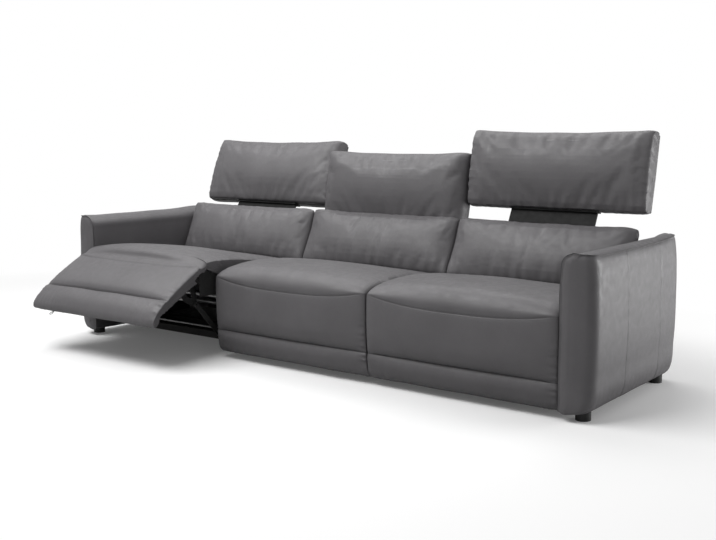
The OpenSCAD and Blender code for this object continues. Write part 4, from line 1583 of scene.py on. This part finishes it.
@dataclass
class PullRing:
    """The wire ring on a leather tab under a footrest's lower roll.

    Attributes:
        place: The seat's place.
        radius: Radius of the ring in millimetres.
        wire: Radius of its wire.
        from_middle: How far it hangs to the right of the seat's middle.
        open_home: Its depth and height on an open footrest, before it swings.
        folded_home: The same on a closed one, where it is folded up behind the roll.
    """

    place: SeatPlace
    radius: float = 9.0
    wire: float = 1.5
    from_middle: float = -278.0
    open_home: tuple[float, float] = (64.0, 22.0)
    folded_home: tuple[float, float] = (84.0, 52.0)

    def build(self) -> bpy.types.Object:
        """Builds the ring where the lower roll's underside lies, then swings it with the footrest."""
        seat = self.place
        deselect()
        bpy.ops.mesh.primitive_torus_add(
            major_radius=self.radius * MM, minor_radius=self.wire * MM, major_segments=32, minor_segments=10,
            rotation=(math.radians(90), 0, 0), location=(0, 0, -self.radius * MM),
        )
        ring = bpy.context.active_object
        bpy.ops.object.transform_apply(location=True, rotation=True, scale=True)
        bpy.ops.mesh.primitive_cube_add(size=1, location=(0, 0, 3 * MM), scale=(9 * MM, 3 * MM, 12 * MM))
        tab = bpy.context.active_object
        bpy.ops.object.transform_apply(location=True, rotation=True, scale=True)
        with edit_mode():
            bpy.ops.mesh.bevel(offset=1.2 * MM, segments=3, affect="EDGES")
        select_only(ring)
        tab.select_set(True)
        bpy.ops.object.join()
        ring.name = ring.data.name = f"{seat.name}_pull_ring"
        back, up = self.open_home if seat.is_open else self.folded_home
        points = read_points(ring) + (seat.x + self.from_middle * MM, FRONT_Y + back * MM, up * MM)
        write_points(ring, FootrestPad(seat).opened(points) if seat.is_open else points)
        smooth(40)
        declare(ring, LINK_STEEL, "dark_steel")
        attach(ring, f"{seat.name}_footrest")
        return ring


@dataclass
class KneeSkirt:
    """The cloth panel that hides the slide beside the knee, one at each side of the carriage.

    Attributes:
        place: The seat's place.
        side: -1 for the left panel and 1 for the right.
        out: How far it is from the seat's middle, in millimetres.
        thickness: Thickness of the cloth.
        front: Depth of its front edge.
        rear: Depth of its rear edge.
        top: Height of its upper edge at the front.
        bottom: Height of its lower edge.
        slope: Fall of its upper edge towards the rear.
    """

    place: SeatPlace
    side: int
    out: float = 421.5
    thickness: float = 2.4
    front: float = 20.0
    rear: float = 165.0
    top: float = 392.0
    bottom: float = 258.0
    slope: float = 0.3785 * 0.95

    def build(self) -> bpy.types.Object:
        """Builds the panel as a subdivided sheet that sways along its lower edge."""
        seat = self.place
        deselect()
        bpy.ops.mesh.primitive_grid_add(x_subdivisions=16, y_subdivisions=10, size=2)
        piece = bpy.context.active_object
        side = "left" if self.side < 0 else "right"
        piece.name = piece.data.name = f"{seat.name}_knee_skirt_{side}"
        shift = (-REACH, RISE) if seat.is_open else (0.0, 0.0)
        for v in piece.data.vertices:
            u, w = (v.co.x + 1) / 2, (v.co.y + 1) / 2
            y = self.front + (self.rear - self.front) * u
            top = self.top - self.slope * (y - self.front)
            z = self.bottom + (top - self.bottom) * w
            sway = 1.6 * math.sin(7 * u + 1.1 * self.side) * (1 - w)
            v.co = Vector((
                seat.x + self.side * (self.out + sway) * MM,
                FRONT_Y + (y + shift[0]) * MM,
                (z + shift[1]) * MM,
            ))
        modifier = piece.modifiers.new("thickness", "SOLIDIFY")
        modifier.thickness = self.thickness * MM
        modifier.offset = 0
        bpy.ops.object.modifier_apply(modifier=modifier.name)
        face_outwards()
        smooth(40)
        declare(piece, LINING, "webbing")
        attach(piece, f"{seat.name}_carriage")
        return piece


class Hardware:
    """Finishes of the CAD nodes that stay as they are, and the nodes whose cross rods are zinc plated."""

    rods = {
        "side_plates": {"reach": 0.3, "radius": 0.012}, "drive_unit": {"reach": 0.3, "radius": 0.02},
        "footrest_board": {"reach": 0.3, "radius": 0.012},
    }

    finishes: dict[str, Finish] = {
        "arm_frame": TIMBER, "arm_bolts": ZINC, "front_beam": BLACK_TIMBER,
        "middle_beam": BLACK_TIMBER, "rear_beam": BLACK_TIMBER, "feet": PLASTIC, "dust_cover": LINING,
        "seat_box": BLACK_TIMBER, "webbing": WEBBING,
        "side_plates": PLATE_STEEL, "back_frame": BLACK_TIMBER, "drive_unit": BLACK_STEEL, "carriage": ZINC,
        "footrest_board": BLACK_STEEL, "stay_links": LINK_STEEL, "headrest_guide": BLACK_STEEL,
        "headrest_plate": PLATE_STEEL,
    }

    def dress(self) -> None:
        """Puts a finish on every CAD node that still shows."""
        for name, node in frame["nodes"].items():
            if node.hide_render:
                continue
            key = next(k for k in self.finishes if name == k or name.endswith("_" + k))
            self.finishes[key].dress(node)
            if key in self.rods:
                self.plate_rods(node, **self.rods[key])

    @staticmethod
    def plate_rods(node: bpy.types.Object, reach: float, radius: float) -> None:
        """Gives a node's cross rods a zinc finish.

        Args:
            node: The CAD node.
            reach: How far the rods reach from the seat's middle, in metres.
            radius: Largest radius of a rod: its faces all point across x.
        """
        low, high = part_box(node.name)
        middle = (low.x + high.x) / 2
        mesh = node.data
        mesh.materials.append(ZINC.material())
        for face in mesh.polygons:
            ends = [mesh.vertices[i].co.x - middle for i in face.vertices]
            wide = max(ends) - min(ends) > reach
            if wide and face.area < (max(ends) - min(ends)) * radius:
                face.material_index = len(mesh.materials) - 1


# STUDIO


@dataclass(frozen=True)
class Softbox:
    """A rectangular studio lamp.

    Attributes:
        name: Name of the lamp.
        place: Where it stands, in metres.
        size: Width and height.
        power: Power in watts.
        aim: The point that it faces.
    """

    name: str
    place: tuple[float, float, float]
    size: tuple[float, float]
    power: float
    aim: tuple[float, float, float] = (0.0, 0.1, 0.4)

    def hang(self) -> None:
        """Places the lamp so that it faces its aim."""
        data = bpy.data.lights.new(self.name, "AREA")
        data.shape = "RECTANGLE"
        data.size, data.size_y = self.size
        data.energy = self.power
        lamp = bpy.data.objects.new(self.name, data)
        lamp.location = self.place
        lamp.rotation_euler = (Vector(self.aim) - lamp.location).to_track_quat("-Z", "Y").to_euler()
        bpy.context.scene.collection.objects.link(lamp)


@dataclass
class Studio:
    """Floor, light and camera.

    Attributes:
        camera_place: Place from the middle of the closed seats' front plane, in metres.
        camera_turn: Turn to the left in degrees.
        camera_tilt: Tilt down in degrees.
        focal: Focal length in pixels of the photograph.
        frame_width: Width of the photograph.
        fill: Strength of the grey fill light.
        shine: How bright the background is in glossy surfaces.
        floor_tone: Grey of the floor under the sofa.
        floor_glow: Light that the floor gives off, so that shadows are soft.
        floor_bounce: Grey of the floor for all but the camera.
        fade: Where the floor starts and ends to fade into the background, in metres.
        fade_depth: Length of the fade along x, against y.
    """

    camera_place: tuple[float, float, float] = (2.8876, -3.3088, 1.0498)
    camera_turn: float = 36.98
    camera_tilt: float = 7.78
    focal: float = 1012.05
    frame_width: float = 716.0
    fill: float = 0.25
    shine: float = 0.35
    floor_tone: float = 0.95
    floor_glow: float = 0.08
    floor_bounce: float = 0.5
    fade: tuple[float, float] = (1.3, 2.4)
    fade_depth: float = 0.6

    def build(self) -> None:
        """Sets up the camera, the lamps, the world and the floor."""
        self.camera()
        self.world()
        self.floor()
        for lamp in (
            Softbox("key_softbox", (-1.3, -2.0, 4.0), (4.2, 2.0), 172),
            Softbox("top_softbox", (-0.8, 1.3, 3.4), (4.0, 1.4), 56),
            Softbox("right_softbox", (3.2, 1.7, 0.5), (1.8, 1.0), 48, (1.4, 0.1, 0.3)),
        ):
            lamp.hang()

    def camera(self) -> None:
        """Places the camera at the photograph's angle."""
        data = bpy.data.cameras.new("camera")
        data.sensor_width = 36
        data.lens = 36 * self.focal / self.frame_width
        camera = bpy.data.objects.new("camera", data)
        x, y, z = self.camera_place
        camera.location = (x, y + FRONT_Y, z)
        camera.rotation_euler = (math.radians(90 - self.camera_tilt), 0, math.radians(self.camera_turn))
        bpy.context.scene.collection.objects.link(camera)
        bpy.context.scene.camera = camera

    def world(self) -> None:
        """White for the camera and for reflections of the background, a plain grey fill for the rest."""
        world = bpy.data.worlds.new("studio")
        bpy.context.scene.world = world
        world.use_nodes = True
        world.node_tree.nodes.clear()
        t = Tree(world.node_tree)
        path = t.node("LightPath")
        glossy = t.times(path.outputs["Is Glossy Ray"], self.shine)
        through = t.math("MAXIMUM", glossy, path.outputs["Is Transmission Ray"])
        seen = t.math("MAXIMUM", path.outputs["Is Camera Ray"], through)
        fill = t.node("Background", {"Color": grey(1.0), "Strength": self.fill})
        white = t.node("Background", {"Color": grey(1.0), "Strength": 1.0})
        both = t.node("MixShader", {0: seen, 1: fill.outputs[0], 2: white.outputs[0]})
        t.node("OutputWorld", {"Surface": both.outputs[0]})

    def floor(self) -> None:
        """Lays the pale floor."""
        deselect()
        bpy.ops.mesh.primitive_plane_add(size=60, location=(0, 0, 0))
        floor = bpy.context.active_object
        floor.name = "floor"
        material = bpy.data.materials.new("pale_floor")
        material.use_nodes = True
        material.node_tree.nodes.clear()
        t = Tree(material.node_tree)
        place = t.scaled(t.node("TexCoord").outputs["Object"], (self.fade_depth, 1.0, 1.0))
        away = t.node("VectorMath", {0: place}, operation="LENGTH").outputs["Value"]
        pale = t.node("BsdfDiffuse", {"Color": grey(self.floor_tone)})
        glow = t.node("Emission", {"Color": grey(1.0), "Strength": self.floor_glow})
        near = t.node("AddShader", {0: pale.outputs[0], 1: glow.outputs[0]})
        far = t.node("Emission", {"Color": grey(1.0), "Strength": 1.0})
        share = t.spread(away, *self.fade)
        lit = t.node("MixShader", {0: share, 1: near.outputs[0], 2: far.outputs[0]})
        dim = t.node("BsdfDiffuse", {"Color": grey(self.floor_bounce)})
        seen = t.node("LightPath").outputs["Is Camera Ray"]
        both = t.node("MixShader", {0: seen, 1: dim.outputs[0], 2: lit.outputs[0]})
        t.node("OutputMaterial", {"Surface": both.outputs[0]})
        floor.data.materials.append(material)
        bpy.context.scene.view_settings.view_transform = "Standard"


def main() -> None:
    """Builds the sofa's pieces in order and reports each one."""
    logging.basicConfig(level=logging.INFO, format="%(name)s: %(message)s")
    Studio().build()
    pieces: list[bpy.types.Object] = []
    for k, name in enumerate(("left", "middle", "right")):
        place = seat_place(name)
        for part in (
            SeatPad(place, seed=0.4 + k), FootrestPad(place, seam_lift=15.0 * place.is_open, seed=1.1 + k),
            LumbarPad(place, seed=1.9 + k), HeadPad(place, **HEAD_SHAPES[name], seed=2.7 + k),
            PullRing(place), KneeSkirt(place, -1), KneeSkirt(place, 1),
        ):
            pieces.append(part.build())
    for side in (-1, 1):
        pieces.append(ArmPad(side, seed=side + 3.0).build())
    pieces.append(BackPanel().build())
    Hardware().dress()
    for piece in pieces:
        log.info("%s: %d faces", piece.name, len(piece.data.polygons))


if __name__ == "__main__":
    main()
